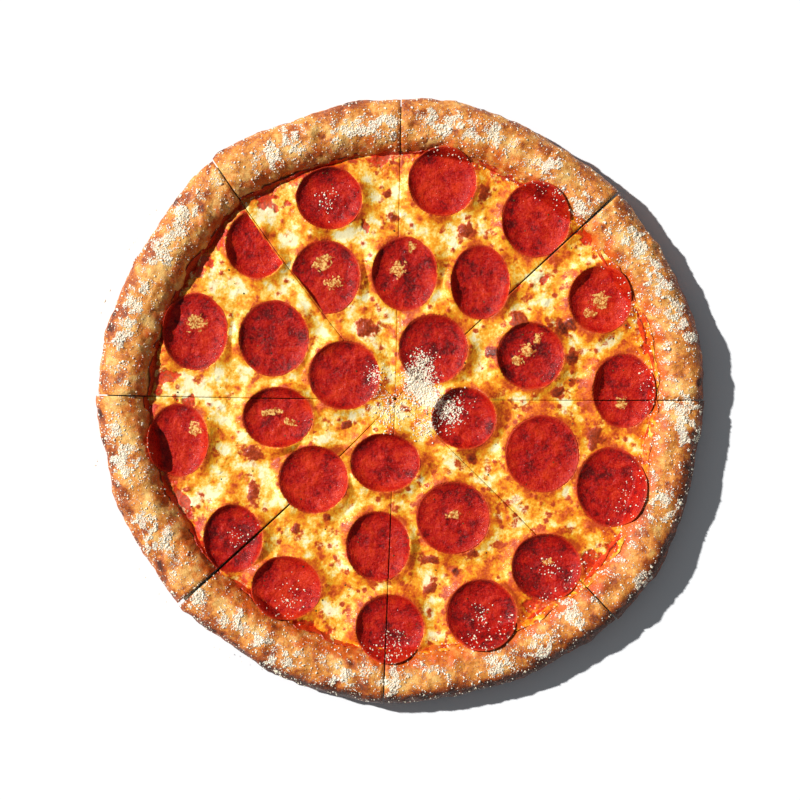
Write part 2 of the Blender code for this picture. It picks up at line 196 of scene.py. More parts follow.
def bubbles(
    x: np.ndarray, y: np.ndarray, size: float, seed: int
) -> tuple[np.ndarray, np.ndarray]:
    """Scatters one round spot in each cell of a lattice.

    Args:
        x: places across, in metres.
        y: places up, in metres.
        size: the width of a cell, in metres.
        seed: another seed gives other spots.

    Returns:
        The distance to the nearest spot's middle in cells, and that spot's own number from 0 to 1.
    """
    column = np.floor(x / size).astype(np.int64)
    row = np.floor(y / size).astype(np.int64)
    nearest = np.full_like(x, 9.0)
    own = np.zeros_like(x)
    for i in (-1, 0, 1):
        for j in (-1, 0, 1):
            middle_x = column + i + hashed(column + i, row + j, seed)
            middle_y = row + j + hashed(column + i, row + j, seed + 1)
            distance = np.hypot(x / size - middle_x, y / size - middle_y)
            closer = distance < nearest
            nearest = np.where(closer, distance, nearest)
            own = np.where(closer, hashed(column + i, row + j, seed + 2), own)
    return nearest, own


def wander(x: np.ndarray, y: np.ndarray, scale: float, seed: float) -> np.ndarray:
    """The slow waves of the solids, at the same places.

    Args:
        x: places across, in metres.
        y: places up, in metres.
        scale: the width of the waves, in metres.
        seed: another seed gives other waves.

    Returns:
        Numbers from about -1 to 1.
    """
    flat = zip((x / scale).ravel().tolist(), (y / scale).ravel().tolist())
    waves = np.fromiter((noise.noise(Vector((a, b, seed))) for a, b in flat), float, x.size)
    return waves.reshape(x.shape)


def tint(red: int, green: int, blue: int) -> tuple[float, float, float, float]:
    """Turns a screen colour into the linear one that a shader takes.

    Args:
        red: 0 to 255.
        green: 0 to 255.
        blue: 0 to 255.

    Returns:
        The linear colour, with its alpha.
    """
    shares = [c / 255.0 for c in (red, green, blue)]
    linear = [((s + 0.055) / 1.055) ** 2.4 if s > 0.04045 else s / 12.92 for s in shares]
    return linear[0], linear[1], linear[2], 1.0


class Slot(Enum):
    """The record's material slots."""

    DOUGH = "baked_dough"
    SAUCE = "tomato_sauce"
    CHEESE = "melted_cheese"
    PEPPERONI = "pepperoni"


@dataclass(frozen=True)
class Wire:
    """One output of a shader node, which takes part in sums."""

    sheet: "NodeSheet"
    socket: bpy.types.NodeSocket

    def __add__(self, other: "Wire | float") -> "Wire":
        """Adds."""
        return self.sheet.maths("ADD", self, other)

    def __radd__(self, other: float) -> "Wire":
        """Adds, the number first."""
        return self.sheet.maths("ADD", other, self)

    def __sub__(self, other: "Wire | float") -> "Wire":
        """Takes away."""
        return self.sheet.maths("SUBTRACT", self, other)

    def __rsub__(self, other: float) -> "Wire":
        """Takes away from a number."""
        return self.sheet.maths("SUBTRACT", other, self)

    def __mul__(self, other: "Wire | float") -> "Wire":
        """Multiplies."""
        return self.sheet.maths("MULTIPLY", self, other)

    def __rmul__(self, other: float) -> "Wire":
        """Multiplies, the number first."""
        return self.sheet.maths("MULTIPLY", other, self)

    def step(self, low: float, high: float) -> "Wire":
        """A soft step from 0 at low to 1 at high."""
        settings = {"interpolation_type": "SMOOTHSTEP"}
        values = {"Value": self, "From Min": low, "From Max": high}
        return self.sheet.node("ShaderNodeMapRange", settings, values)


class NodeSheet:
    """One material and the nodes that make its look."""

    def __init__(self, name: str) -> None:
        """Starts a material.

        Args:
            name: the material's name.
        """
        self.material = bpy.data.materials.new(name)
        self.material.use_nodes = True
        self.tree = self.material.node_tree
        self.shader = next(n for n in self.tree.nodes if n.type == "BSDF_PRINCIPLED")
        self.place = self.node("ShaderNodeTexCoord", {}, {}, "Object")

    def node(self, kind: str, settings: dict, values: dict, output: str | int = 0) -> Wire:
        """Adds a node.

        Args:
            kind: the node's type.
            settings: what is set on the node itself; a ramp's stops are (place, colour) pairs.
            values: what its inputs get, a number, a colour or another node's output.
            output: which of its outputs is handed on.

        Returns:
            That output.
        """
        made = self.tree.nodes.new(kind)
        for name, setting in settings.items():
            if name == "stops":
                while len(made.color_ramp.elements) < len(setting):
                    made.color_ramp.elements.new(1.0)
                for element, (place, colour) in zip(made.color_ramp.elements, setting):
                    element.position = place
                    element.color = colour
            else:
                setattr(made, name, setting)
        for name, value in values.items():
            socket = made.inputs[name]
            if isinstance(value, Wire):
                self.tree.links.new(value.socket, socket)
            else:
                socket.default_value = value
        return Wire(self, made.outputs[output])

    def maths(self, operation: str, first: Wire | float, second: Wire | float) -> Wire:
        """One sum of two numbers."""
        return self.node("ShaderNodeMath", {"operation": operation}, {0: first, 1: second})

    def mix(self, share: Wire | float, first: Wire | tuple, second: Wire | tuple) -> Wire:
        """Blends two colours.

        Args:
            share: how much of the second colour shows.
            first: a colour or an output.
            second: a colour or an output.

        Returns:
            The blend.
        """
        settings = {"data_type": "RGBA", "clamp_factor": True}
        return self.node("ShaderNodeMix", settings, {0: share, 6: first, 7: second}, 2)

    def ramp(self, share: Wire, *stops: tuple) -> Wire:
        """A colour that runs through stops of (place, colour)."""
        return self.node("ShaderNodeValToRGB", {"stops": stops}, {"Fac": share}, "Color")

    def mark(self, name: str) -> Wire:
        """Reads a number that the piece carries at each point."""
        return self.node("ShaderNodeAttribute", {"attribute_name": name}, {}, "Fac")

    def speckle(self, size: float, detail: float = 2.0, roughness: float = 0.5) -> Wire:
        """Soft noise from 0 to 1, with waves of a size in metres."""
        values = {"Scale": 1.0 / size, "Detail": detail, "Roughness": roughness}
        return self.node("ShaderNodeTexNoise", {}, {"Vector": self.place, **values}, "Fac")

    def spots(self, size: float) -> Wire:
        """The distance to the nearest of many scattered points, in cells of a size in metres."""
        values = {"Vector": self.place, "Scale": 1.0 / size}
        return self.node("ShaderNodeTexVoronoi", {"feature": "F1"}, values, "Distance")

    def finish(
        self, colour: Wire, roughness: Wire, relief: Wire, depth: float, **fixed: float
    ) -> bpy.types.Material:
        """Joins the look to the shader.

        Args:
            colour: the base colour.
            roughness: how matt it is.
            relief: the fine relief.
            depth: the relief's depth in metres.
            fixed: other inputs of the shader, the same all over.

        Returns:
            The material.
        """
        values = {"Height": relief, "Distance": depth, "Strength": 1.0}
        bump = self.node("ShaderNodeBump", {}, values, "Normal")
        for name, wire in (("Base Color", colour), ("Roughness", roughness), ("Normal", bump)):
            self.tree.links.new(wire.socket, self.shader.inputs[name])
        for name, value in fixed.items():
            self.shader.inputs[name.replace("_", " ")].default_value = value
        return self.material


@dataclass(frozen=True)
class BakedDough:
    """The finish of the baked rim and the underside."""

    pale: tuple = tint(250, 196, 112)
    golden: tuple = tint(228, 142, 56)
    brown: tuple = tint(170, 78, 26)
    dark: tuple = tint(70, 30, 12)
    oily: tuple = tint(216, 84, 14)
    dusting: tuple = tint(250, 246, 228)

    def material(self) -> bpy.types.Material:
        """Makes the material, which reads the marks toast (browning with painted light and shade), dust
        and oil.
        """
        sheet = NodeSheet("baked_dough_finish")
        broad = sheet.speckle(6.0 * MM, 4.0, 0.6)
        fine = sheet.speckle(2.2 * MM, 4.0, 0.65)
        tiny = sheet.speckle(0.8 * MM, 3.0, 0.6)
        toast = sheet.mark("toast") + 0.7 * (broad - 0.5) + (fine - 0.5) + 0.6 * (tiny - 0.5)
        colour = sheet.ramp(
            toast, (0.0, self.pale), (0.33, self.golden), (0.64, self.brown), (1.0, self.dark)
        )
        oil = (sheet.mark("oil") + 1.6 * (broad - 0.5)).step(0.1, 0.9)
        colour = sheet.mix(oil * 0.8, colour, self.oily)
        dust = (0.8 * sheet.mark("dust") + 3.2 * (tiny - 0.5) + 1.6 * (fine - 0.5)).step(0.4, 0.8)
        colour = sheet.mix(dust * 0.8, colour, self.dusting)
        roughness = 0.52 + 0.2 * dust - 0.14 * oil + 0.5 * (fine - 0.5)
        relief = fine * 0.7 + tiny * 0.7 + dust * 0.3
        return sheet.finish(colour, roughness, relief, 0.45 * MM, Specular_IOR_Level=0.3)


@dataclass(frozen=True)
class BreadCrumb:
    """The finish of the dough's cut faces."""

    light: tuple = tint(246, 226, 182)
    deep: tuple = tint(214, 170, 112)

    def material(self) -> bpy.types.Material:
        """Makes the material."""
        sheet = NodeSheet("bread_crumb_finish")
        holes = sheet.spots(2.4 * MM).step(0.15, 0.5)
        fine = sheet.speckle(0.9 * MM, 3.0)
        # The pores are painted darker than the crumb around them: painted shade in the recesses.
        colour = sheet.mix(holes * 0.7 + 0.3 * fine, self.deep, self.light)
        return sheet.finish(colour, 0.8 - 0.1 * fine, holes + 0.4 * fine, 0.5 * MM)


@dataclass(frozen=True)
class MeltedCheese:
    """The finish of the melted cheese, with its oil, its blisters, the sauce that shows through and
    painted shade along the rim's upper-left foot.
    """

    cream: tuple = tint(255, 241, 188)
    pale: tuple = tint(255, 212, 100)
    golden: tuple = tint(248, 168, 26)
    orange: tuple = tint(232, 114, 14)
    rust: tuple = tint(192, 66, 12)
    blister: tuple = tint(160, 54, 12)
    blister_dark: tuple = tint(88, 28, 8)
    sauce: tuple = tint(222, 50, 12)
    sauce_deep: tuple = tint(176, 24, 6)

    def material(self) -> bpy.types.Material:
        """Makes the material, which reads the marks warmth, toast and sauce, which carry painted shade
        along the rim's upper-left foot.
        """
        sheet = NodeSheet("melted_cheese_finish")
        soft = sheet.speckle(4.2 * MM, 4.0, 0.6)
        fine = sheet.speckle(1.5 * MM, 3.0, 0.6)
        warmth = sheet.mark("warmth") + 0.9 * (soft - 0.5) + 0.7 * (fine - 0.5)
        stops = (self.cream, self.pale, self.golden, self.orange, self.rust)
        colour = sheet.ramp(warmth, *zip((0.12, 0.34, 0.54, 0.78, 1.0), stops))
        toast = sheet.mark("toast") * (0.5 + fine) + 0.5 * (soft - 0.5) + 0.3 * (fine - 0.5)
        stops = (self.orange, self.rust, self.blister, self.blister_dark)
        burnt = sheet.ramp(toast, *zip((0.2, 0.42, 0.68, 1.0), stops))
        colour = sheet.mix(toast.step(0.1, 0.45), colour, burnt)
        sauce = (sheet.mark("sauce") + 1.6 * (soft - 0.5) + 0.8 * (fine - 0.5)).step(0.3, 0.8)
        red = sheet.mix(fine.step(0.4, 0.6), self.sauce_deep, self.sauce)
        colour = sheet.mix(sauce * 0.9, colour, red)
        wet = sheet.speckle(0.9 * MM, 1.0).step(0.56, 0.64)
        relief = soft * 0.7 + fine * 0.7
        return sheet.finish(colour, 0.56 - 0.34 * wet, relief, 0.45 * MM, Specular_IOR_Level=0.35)


@dataclass(frozen=True)
class TomatoSauce:
    """The finish of the sauce that shows beside the rim."""

    bright: tuple = tint(228, 66, 16)
    deep: tuple = tint(176, 34, 8)

    def material(self) -> bpy.types.Material:
        """Makes the material."""
        sheet = NodeSheet("tomato_sauce_finish")
        soft = sheet.speckle(4.0 * MM, 3.0)
        fine = sheet.speckle(1.0 * MM, 2.0)
        colour = sheet.mix((soft * 0.7 + fine * 0.5).step(0.4, 0.8), self.deep, self.bright)
        return sheet.finish(colour, 0.22 + 0.2 * fine, soft + 0.4 * fine, 0.5 * MM)


@dataclass(frozen=True)
class CuredSausage:
    """The finish of the pepperoni."""

    deep: tuple = tint(100, 4, 4)
    face: tuple = tint(180, 10, 2)
    bright: tuple = tint(214, 48, 8)
    fat: tuple = tint(228, 112, 70)
    edge: tuple = tint(206, 58, 20)
    melt: tuple = tint(248, 198, 110)
    melt_deep: tuple = tint(196, 92, 26)

    def material(self) -> bpy.types.Material:
        """Makes the material, which reads the marks tone (with a little painted shade inside the
        upper-left lip), lip and melt.
        """
        sheet = NodeSheet("pepperoni_finish")
        soft = sheet.speckle(5.0 * MM, 4.0, 0.6)
        fine = sheet.speckle(1.6 * MM, 3.0, 0.6)
        tiny = sheet.speckle(0.7 * MM, 1.0)
        tone = sheet.mark("tone") + 1.3 * (soft - 0.5) + 1.1 * (fine - 0.5)
        colour = sheet.ramp(tone, (0.05, self.deep), (0.45, self.face), (0.95, self.bright))
        fat = 1.0 - sheet.spots(2.3 * MM).step(0.14, 0.28)
        colour = sheet.mix(fat * 0.14, colour, self.fat)
        colour = sheet.mix(sheet.mark("lip") * 0.7, colour, self.edge)
        values = {"Vector": sheet.place, "Scale": 1.0 / (4.0 * MM), "Detail": 2.0, "Distortion": 1.6}
        streak = sheet.node("ShaderNodeTexNoise", {}, values, "Fac")
        melt = (sheet.mark("melt") + 2.4 * (streak - 0.5)).step(0.42, 0.62)
        melted = sheet.mix(fine.step(0.4, 0.58), self.melt, self.melt_deep)
        colour = sheet.mix(melt * sheet.mark("melt").step(0.02, 0.2), colour, melted)
        wet = tiny.step(0.57, 0.64)
        relief = soft * 0.5 + fine * 0.9 + wet * 0.3
        return sheet.finish(colour, 0.54 - 0.38 * wet, relief, 0.6 * MM, Specular_IOR_Level=0.24)


@dataclass(frozen=True)
class GratedCheese:
    """The finish of the grated hard cheese."""

    light: tuple = tint(255, 252, 240)
    deep: tuple = tint(246, 226, 186)

    def material(self) -> bpy.types.Material:
        """Makes the material, which reads the mark tone."""
        sheet = NodeSheet("grated_cheese_finish")
        fine = sheet.speckle(0.8 * MM, 2.0)
        colour = sheet.mix(sheet.mark("tone") * 0.6 + 0.5 * fine, self.light, self.deep)
        return sheet.finish(colour, 0.6 + 0.2 * fine, fine, 0.1 * MM)


@dataclass(frozen=True)
class DriedHerb:
    """The finish of the herb flakes."""

    light: tuple = tint(112, 104, 44)
    deep: tuple = tint(48, 42, 16)

    def material(self) -> bpy.types.Material:
        """Makes the material, which reads the mark tone."""
        sheet = NodeSheet("dried_herb_finish")
        fine = sheet.speckle(0.8 * MM, 2.0)
        colour = sheet.mix(sheet.mark("tone"), self.light, self.deep)
        return sheet.finish(colour, 0.7 + 0.1 * fine, fine, 0.05 * MM)


@dataclass(frozen=True)
class PalePaper:
    """The finish of the floor."""

    white: tuple = (0.93, 0.93, 0.93, 1.0)
    shade: tuple = (0.92, 0.92, 0.92, 1.0)

    def material(self) -> bpy.types.Material:
        """Makes the material."""
        sheet = NodeSheet("pale_paper_finish")
        fine = sheet.speckle(30.0 * MM, 2.0)
        colour = sheet.mix(fine, self.white, self.shade)
        return sheet.finish(colour, 0.9 + 0.05 * fine, fine, 0.01 * MM)


@dataclass(frozen=True)
class KnifeCut:
    """One cut from the middle to the rim: its angle in degrees, its bow and its opening in mm."""

    angle: float
    bow: float
    opening: float

    def swing(self, distance: np.ndarray) -> np.ndarray:
        """How far the cut bows to its left at a distance from the middle."""
        share = (np.maximum(distance, 0.0) / BOW_RADIUS) ** BOW_SKEW
        return self.bow * MM * 4.0 * share * (1.0 - share)

    def half_gap(self, distance: np.ndarray) -> np.ndarray:
        """Half of what the cut opens beyond the narrow gap at a distance from the middle."""
        extra = max(self.opening * MM - CUT_GAP, 0.0)
        return 0.5 * extra * np.minimum(distance / BOW_RADIUS, 1.0)


CUTS = (
    KnifeCut(-0.2, -0.5, 0.7), KnifeCut(42.8, 0.0, 1.6), KnifeCut(88.9, 0.0, 0.6),
    KnifeCut(127.4, 3.4, 0.8), KnifeCut(179.2, 0.6, 0.8), KnifeCut(223.4, 2.2, 2.0),
    KnifeCut(267.7, 0.0, 0.8), KnifeCut(315.2, 2.0, 0.8),
)

# How far each slice's edge is from the middle, in mm, at five places from its first cut to its second
REACHES = (
    (181.1, 182.0, 180.4, 178.2, 179.0), (179.3, 176.8, 176.9, 178.0, 176.2),
    (176.1, 176.0, 174.2, 175.8, 178.6), (177.6, 173.6, 173.2, 173.8, 175.0),
    (176.8, 173.6, 174.6, 173.4, 175.2), (175.6, 174.2, 176.1, 176.8, 179.6),
    (179.2, 177.8, 179.2, 180.9, 183.0), (184.0, 184.4, 182.0, 179.8, 181.3),
)


@dataclass(frozen=True)
class SlicePlan:
    """Where one slice lies: its number, its two cuts and how far its edge reaches."""

    number: int
    first: KnifeCut
    second: KnifeCut
    reaches: tuple

    @property
    def start(self) -> float:
        """The first cut's angle in radians."""
        return math.radians(self.first.angle)

    @property
    def turn(self) -> float:
        """The angle between the cuts in radians."""
        return math.radians((self.second.angle - self.first.angle) % 360.0)

    @property
    def tip(self) -> tuple[float, float]:
        """The slice's point, seen from the middle of the pizza."""
        middle = self.start + 0.5 * self.turn
        out = 0.5 * CUT_GAP / math.sin(0.5 * self.turn)
        return out * math.cos(middle), out * math.sin(middle)

    def plan(
        self, share: np.ndarray, distance: np.ndarray, wider: float = 0.0
    ) -> tuple[np.ndarray, np.ndarray]:
        """Finds places on the slice.

        Args:
            share: 0 at the first cut and 1 at the second.
            distance: metres from the slice's point.
            wider: how far each side is moved out into the gap, in metres.

        Returns:
            The places' x and y.
        """
        angle = self.start + share * self.turn
        out_x, out_y = np.cos(angle), np.sin(angle)
        at_first = self.first.swing(distance) + self.first.half_gap(distance)
        at_second = self.second.swing(distance) - self.second.half_gap(distance)
        aside = at_first + share * (at_second - at_first) + (2.0 * share - 1.0) * wider
        x = HUB[0] + self.tip[0] + out_x * distance - out_y * aside
        y = HUB[1] + self.tip[1] + out_y * distance + out_x * aside
        return x, y

    def reach(self, share: np.ndarray) -> np.ndarray:
        """How far the slice reaches from its point, at shares across it."""
        values = np.array(self.reaches) * MM
        spot = np.clip(share, 0.0, 1.0) * (len(values) - 1)
        index = np.minimum(spot.astype(int), len(values) - 2)
        part = spot - index
        before = values[np.maximum(index - 1, 0)]
        after = values[np.minimum(index + 2, len(values) - 1)]
        here, there = values[index], values[index + 1]
        bend = 2.0 * here - 2.0 * there + 0.5 * (there - before) + 0.5 * (after - here)
        sag = 3.0 * (there - here) - (there - before) - 0.5 * (after - here)
        smooth = here + part * (0.5 * (there - before) + part * (sag + part * bend))
        return smooth - math.hypot(*self.tip)

    def rim(self, share: np.ndarray) -> tuple[np.ndarray, np.ndarray, np.ndarray]:
        """The rim's form at shares across the slice.

        Args:
            share: 0 at the first cut and 1 at the second.

        Returns:
            The reach, the rim's width and its height.
        """
        reach = self.reach(share)
        x, y = self.plan(share, reach)
        width = RIM_WIDTH + RIM_WIDTH_WAVE * wander(x, y, RIM_WAVE_SCALE, 3.1)
        crest = CREST_HEIGHT + CREST_WAVE * wander(x, y, RIM_WAVE_SCALE, 7.7)
        return reach, width, crest

    def rim_at(self, share: np.ndarray) -> tuple[np.ndarray, np.ndarray, np.ndarray]:
        """The rim's form at many shares, read from a table of 200 places across the slice."""
        table = np.linspace(0.0, 1.0, 200)
        return tuple(np.interp(share, table, values) for values in self.rim(table))

    def inside(self, x: np.ndarray, y: np.ndarray) -> tuple[np.ndarray, np.ndarray]:
        """Finds roughly which share and distance a place has on this slice."""
        angle = np.arctan2(y - HUB[1], x - HUB[0])
        share = ((angle - self.start) % math.tau) / self.turn
        return share, np.hypot(x - HUB[0], y - HUB[1])


SLICES = tuple(
    SlicePlan(i + 1, CUTS[i], CUTS[(i + 1) % len(CUTS)], REACHES[i]) for i in range(len(CUTS))
)


def slope_height(inset: np.ndarray, width: np.ndarray, crest: np.ndarray) -> np.ndarray:
    """The height of the rim's inner slope at a distance in from the edge."""
    down = np.clip((inset - CREST_INSET) / (width - CREST_INSET), 0.0, 1.0)
    return BED_HEIGHT + (crest - BED_HEIGHT) * (1.0 - down ** SLOPE_POWER) ** SLOPE_ROUNDING


@dataclass(frozen=True)
class Disc:
    """One pepperoni slice: its middle and half its widths in mm, its cut's number and the side kept."""

    number: int
    x: float
    y: float
    half_x: float
    half_y: float
    cut: int | None = None
    sides: str = ""

    @property
    def narrowing(self) -> tuple[float, float]:
        """How far the slice has curled in across and up, in metres."""
        lost = (PEPPERONI_RADIUS ** 2 - (half * MM) ** 2 for half in (self.half_x, self.half_y))
        return tuple(CUP_PER_NARROWING * max(square, 0.0) ** 0.5 for square in lost)

    @property
    def sink(self) -> float:
        """How deep the middle has sunk into the cheese, the deeper the more it has curled."""
        return min(SINK + SINK_PER_NARROWING * max(self.narrowing), DEEPEST_SINK)

    def lift(self, x: np.ndarray, y: np.ndarray) -> np.ndarray:
        """How far the edge has cupped up, in the direction in which places lie."""
        luck = np.random.default_rng(500 + self.number).random(2) * math.tau
        angle = np.arctan2((y - self.y * MM) / self.half_y, (x - self.x * MM) / self.half_x)
        across, up = self.narrowing
        even = CUP_LIFT + across * np.cos(angle) ** 2 + up * np.sin(angle) ** 2
        wave = 0.22 * np.cos(3.0 * angle + luck[0]) + 0.14 * np.cos(5.0 * angle + luck[1])
        return even * (1.0 + wave)

    def knife(self, side: str) -> tuple[Vector, Vector]:
        """Finds the straight cut through the slice.

        Args:
            side: the side that is kept, left or right, looking outwards along the cut.

        Returns:
            A place on the cut's edge and the direction from it to the kept side.
        """
        cut = CUTS[self.cut]
        angle = math.radians(cut.angle)
        outward = Vector((math.cos(angle), math.sin(angle), 0.0))
        aside = Vector((-outward.y, outward.x, 0.0))
        hub = Vector((HUB[0], HUB[1], 0.0))
        far = (Vector((self.x * MM, self.y * MM, 0.0)) - hub).dot(outward)
        reach = self.half_x * MM
        ends = [
            hub + outward * d + aside * float(cut.swing(np.array(d)))
            for d in (far - reach, far + reach)
        ]
        along = (ends[1] - ends[0]).normalized()
        across = Vector((-along.y, along.x, 0.0))
        if side == "right":
            across.negate()
        gap = 0.5 * CUT_GAP + float(cut.half_gap(np.array(far)))
        return 0.5 * (ends[0] + ends[1]) + across * gap, across

    def ring(self, x: np.ndarray, y: np.ndarray) -> np.ndarray:
        """How far out places lie, 1 at the edge."""
        across = (x - self.x * MM) / (self.half_x * MM)
        return np.hypot(across, (y - self.y * MM) / (self.half_y * MM))

    def beyond(self, x: np.ndarray, y: np.ndarray) -> np.ndarray:
        """The distance of places from the edge or the cut in metres, below 0 inside."""
        outside = (self.ring(x, y) - 1.0) * 0.5 * (self.half_x + self.half_y) * MM
        if self.sides in ("left", "right"):
            place, across = self.knife(self.sides)
            outside = np.maximum(outside, (place.x - x) * across.x + (place.y - y) * across.y)
        return outside


DISCS = (
    Disc(1, -41.2, 119.7, 19.7, 18.6), Disc(2, 25.4, 129.4, 20.2, 20.5),
    Disc(3, -83.8, 92.5, 18.4, 20.2, 3, "left"), Disc(4, -43.3, 73.4, 20.5, 22.0, 3, "right"),
    Disc(5, 3.1, 75.2, 19.4, 22.0), Disc(6, 47.6, 70.3, 17.5, 22.2),
    Disc(7, 80.3, 107.1, 20.2, 22.3, 1, "left"), Disc(8, 118.1, 60.1, 18.6, 20.0),
    Disc(9, -120.0, 41.3, 19.2, 22.9), Disc(10, -73.8, 37.4, 20.7, 22.5),
    Disc(11, -32.3, 15.5, 21.2, 20.5), Disc(12, 19.9, 31.2, 20.5, 20.6),
    Disc(13, 77.1, 27.0, 19.8, 20.0), Disc(14, 132.0, 6.4, 18.5, 22.2, 0, "both"),
    Disc(15, -71.4, -9.1, 20.9, 18.1, 4, "both"), Disc(16, -130.0, -22.6, 17.9, 21.8),
    Disc(17, 38.2, -9.6, 18.9, 18.4), Disc(18, -50.4, -45.5, 20.5, 20.0),
    Disc(19, -8.4, -35.7, 20.7, 17.3), Disc(20, 84.1, -30.6, 21.9, 22.8),
    Disc(21, 124.7, -50.2, 20.5, 23.6), Disc(22, 31.7, -68.3, 21.8, 21.5),
    Disc(23, -12.5, -84.9, 19.0, 20.8, 6, "both"), Disc(24, -97.7, -80.4, 17.6, 20.3, 5, "both"),
    Disc(25, -66.4, -109.4, 20.7, 18.8), Disc(26, 86.4, -97.2, 20.6, 20.0),
    Disc(27, -5.5, -133.0, 20.3, 20.1, 6, "both"), Disc(28, 48.4, -125.1, 20.9, 20.8),
)

# Toasted blisters on the cheese: column, row and half widths in pixels, and how dark
BLISTERS = (
    (388, 193, 4, 4, 0.6), (393, 217, 5, 5, 0.6), (484, 193, 8, 8, 0.5), (467, 231, 10, 9, 0.5),
    (510, 172, 5, 5, 0.9), (366, 329, 11, 10, 0.6), (346, 424, 6, 5, 0.7), (519, 322, 10, 10, 0.6),
    (491, 352, 6, 6, 1.0), (556, 392, 8, 5, 0.7), (251, 453, 12, 8, 0.5), (253, 494, 6, 14, 0.5),
    (296, 530, 5, 5, 0.6), (326, 518, 4, 4, 0.7), (430, 589, 7, 7, 0.6), (431, 560, 10, 5, 0.6),
    (456, 572, 4, 4, 0.8), (472, 553, 6, 6, 0.7), (595, 437, 9, 12, 0.6), (661, 437, 5, 5, 0.6),
    (572, 357, 7, 7, 0.9), (563, 326, 12, 8, 0.9), (472, 458, 6, 6, 0.8), (601, 228, 4, 4, 0.6),
    (610, 239, 6, 6, 0.6), (255, 190, 6, 6, 0.6),
)

# Places where sauce shows through the cheese: column, row, half widths in pixels and turn in degrees
BARE_SPOTS = (
    (269, 201, 20, 11, -20), (215, 240, 7, 10, 0), (206, 258, 6, 12, 20), (200, 273, 6, 8, 0),
    (383, 159, 12, 9, 0), (365, 226, 7, 6, 0), (588, 241, 15, 9, -35), (542, 280, 6, 6, 0),
    (519, 285, 6, 5, 0), (166, 376, 13, 11, 0), (187, 401, 10, 8, 0), (180, 500, 8, 18, 20),
    (305, 626, 14, 9, -30), (322, 637, 14, 9, -30), (337, 646, 12, 8, -20), (592, 560, 15, 14, 0),
    (614, 546, 10, 9, 0), (531, 606, 12, 8, 20), (642, 326, 5, 12, 0), (645, 348, 5, 10, 0),
)

# Cheese that has melted over pepperoni: column, row and half widths in pixels
BLOTS = (
    (322, 262, 15, 13), (334, 282, 12, 10), (398, 268, 12, 16), (411, 246, 9, 10), (600, 300, 14, 13),
    (590, 312, 9, 9), (195, 322, 17, 13), (528, 350, 12, 9), (517, 360, 9, 9), (537, 337, 9, 9),
    (622, 402, 9, 9), (270, 412, 18, 6), (290, 423, 13, 6), (195, 430, 11, 11), (548, 562, 10, 6),
    (452, 515, 12, 6),
)

# Thick patches of grated cheese on the rim: column, row and radius in pixels
RIM_PATCHES = (
    (188, 212, 12), (178, 228, 12), (168, 243, 12), (160, 255, 11), (141, 291, 9), (136, 307, 9),
    (130, 323, 9), (123, 339, 9), (273, 157, 11), (294, 141, 12), (348, 135, 11), (362, 131, 11),
    (376, 128, 11), (389, 126, 10), (449, 126, 10), (430, 120, 9), (440, 131, 9), (460, 125, 9),
    (470, 135, 9), (494, 135, 10), (551, 169, 12), (579, 205, 11), (633, 237, 10), (640, 250, 10),
    (650, 265, 11), (660, 285, 11), (670, 305, 11), (680, 322, 11), (690, 339, 11), (679, 405, 14),
    (684, 420, 13), (690, 437, 12), (664, 504, 13), (639, 581, 13), (571, 615, 13), (539, 647, 13),
    (499, 665, 13), (392, 680, 14), (346, 674, 12), (283, 660, 12), (232, 617, 11), (259, 639, 10),
    (196, 597, 11), (160, 540, 14), (148, 522, 12), (125, 469, 11), (124, 460, 11), (123, 451, 10),
    (116, 428, 9),
)

# The heap of grated cheese beside the middle, and thinner drifts: column, row, radius, share of grains
HEAP_PATCHES = (
    (422, 390, 15, 0.34), (411, 380, 9, 0.08), (433, 400, 10, 0.09), (390, 410, 20, 0.1),
    (422, 366, 14, 0.12), (449, 410, 16, 0.12), (425, 427, 12, 0.07), (375, 375, 10, 0.03),
    (330, 200, 14, 0.01), (240, 540, 16, 0.01), (290, 600, 18, 0.012), (395, 640, 16, 0.015),
    (480, 615, 14, 0.01), (550, 570, 14, 0.008),
)


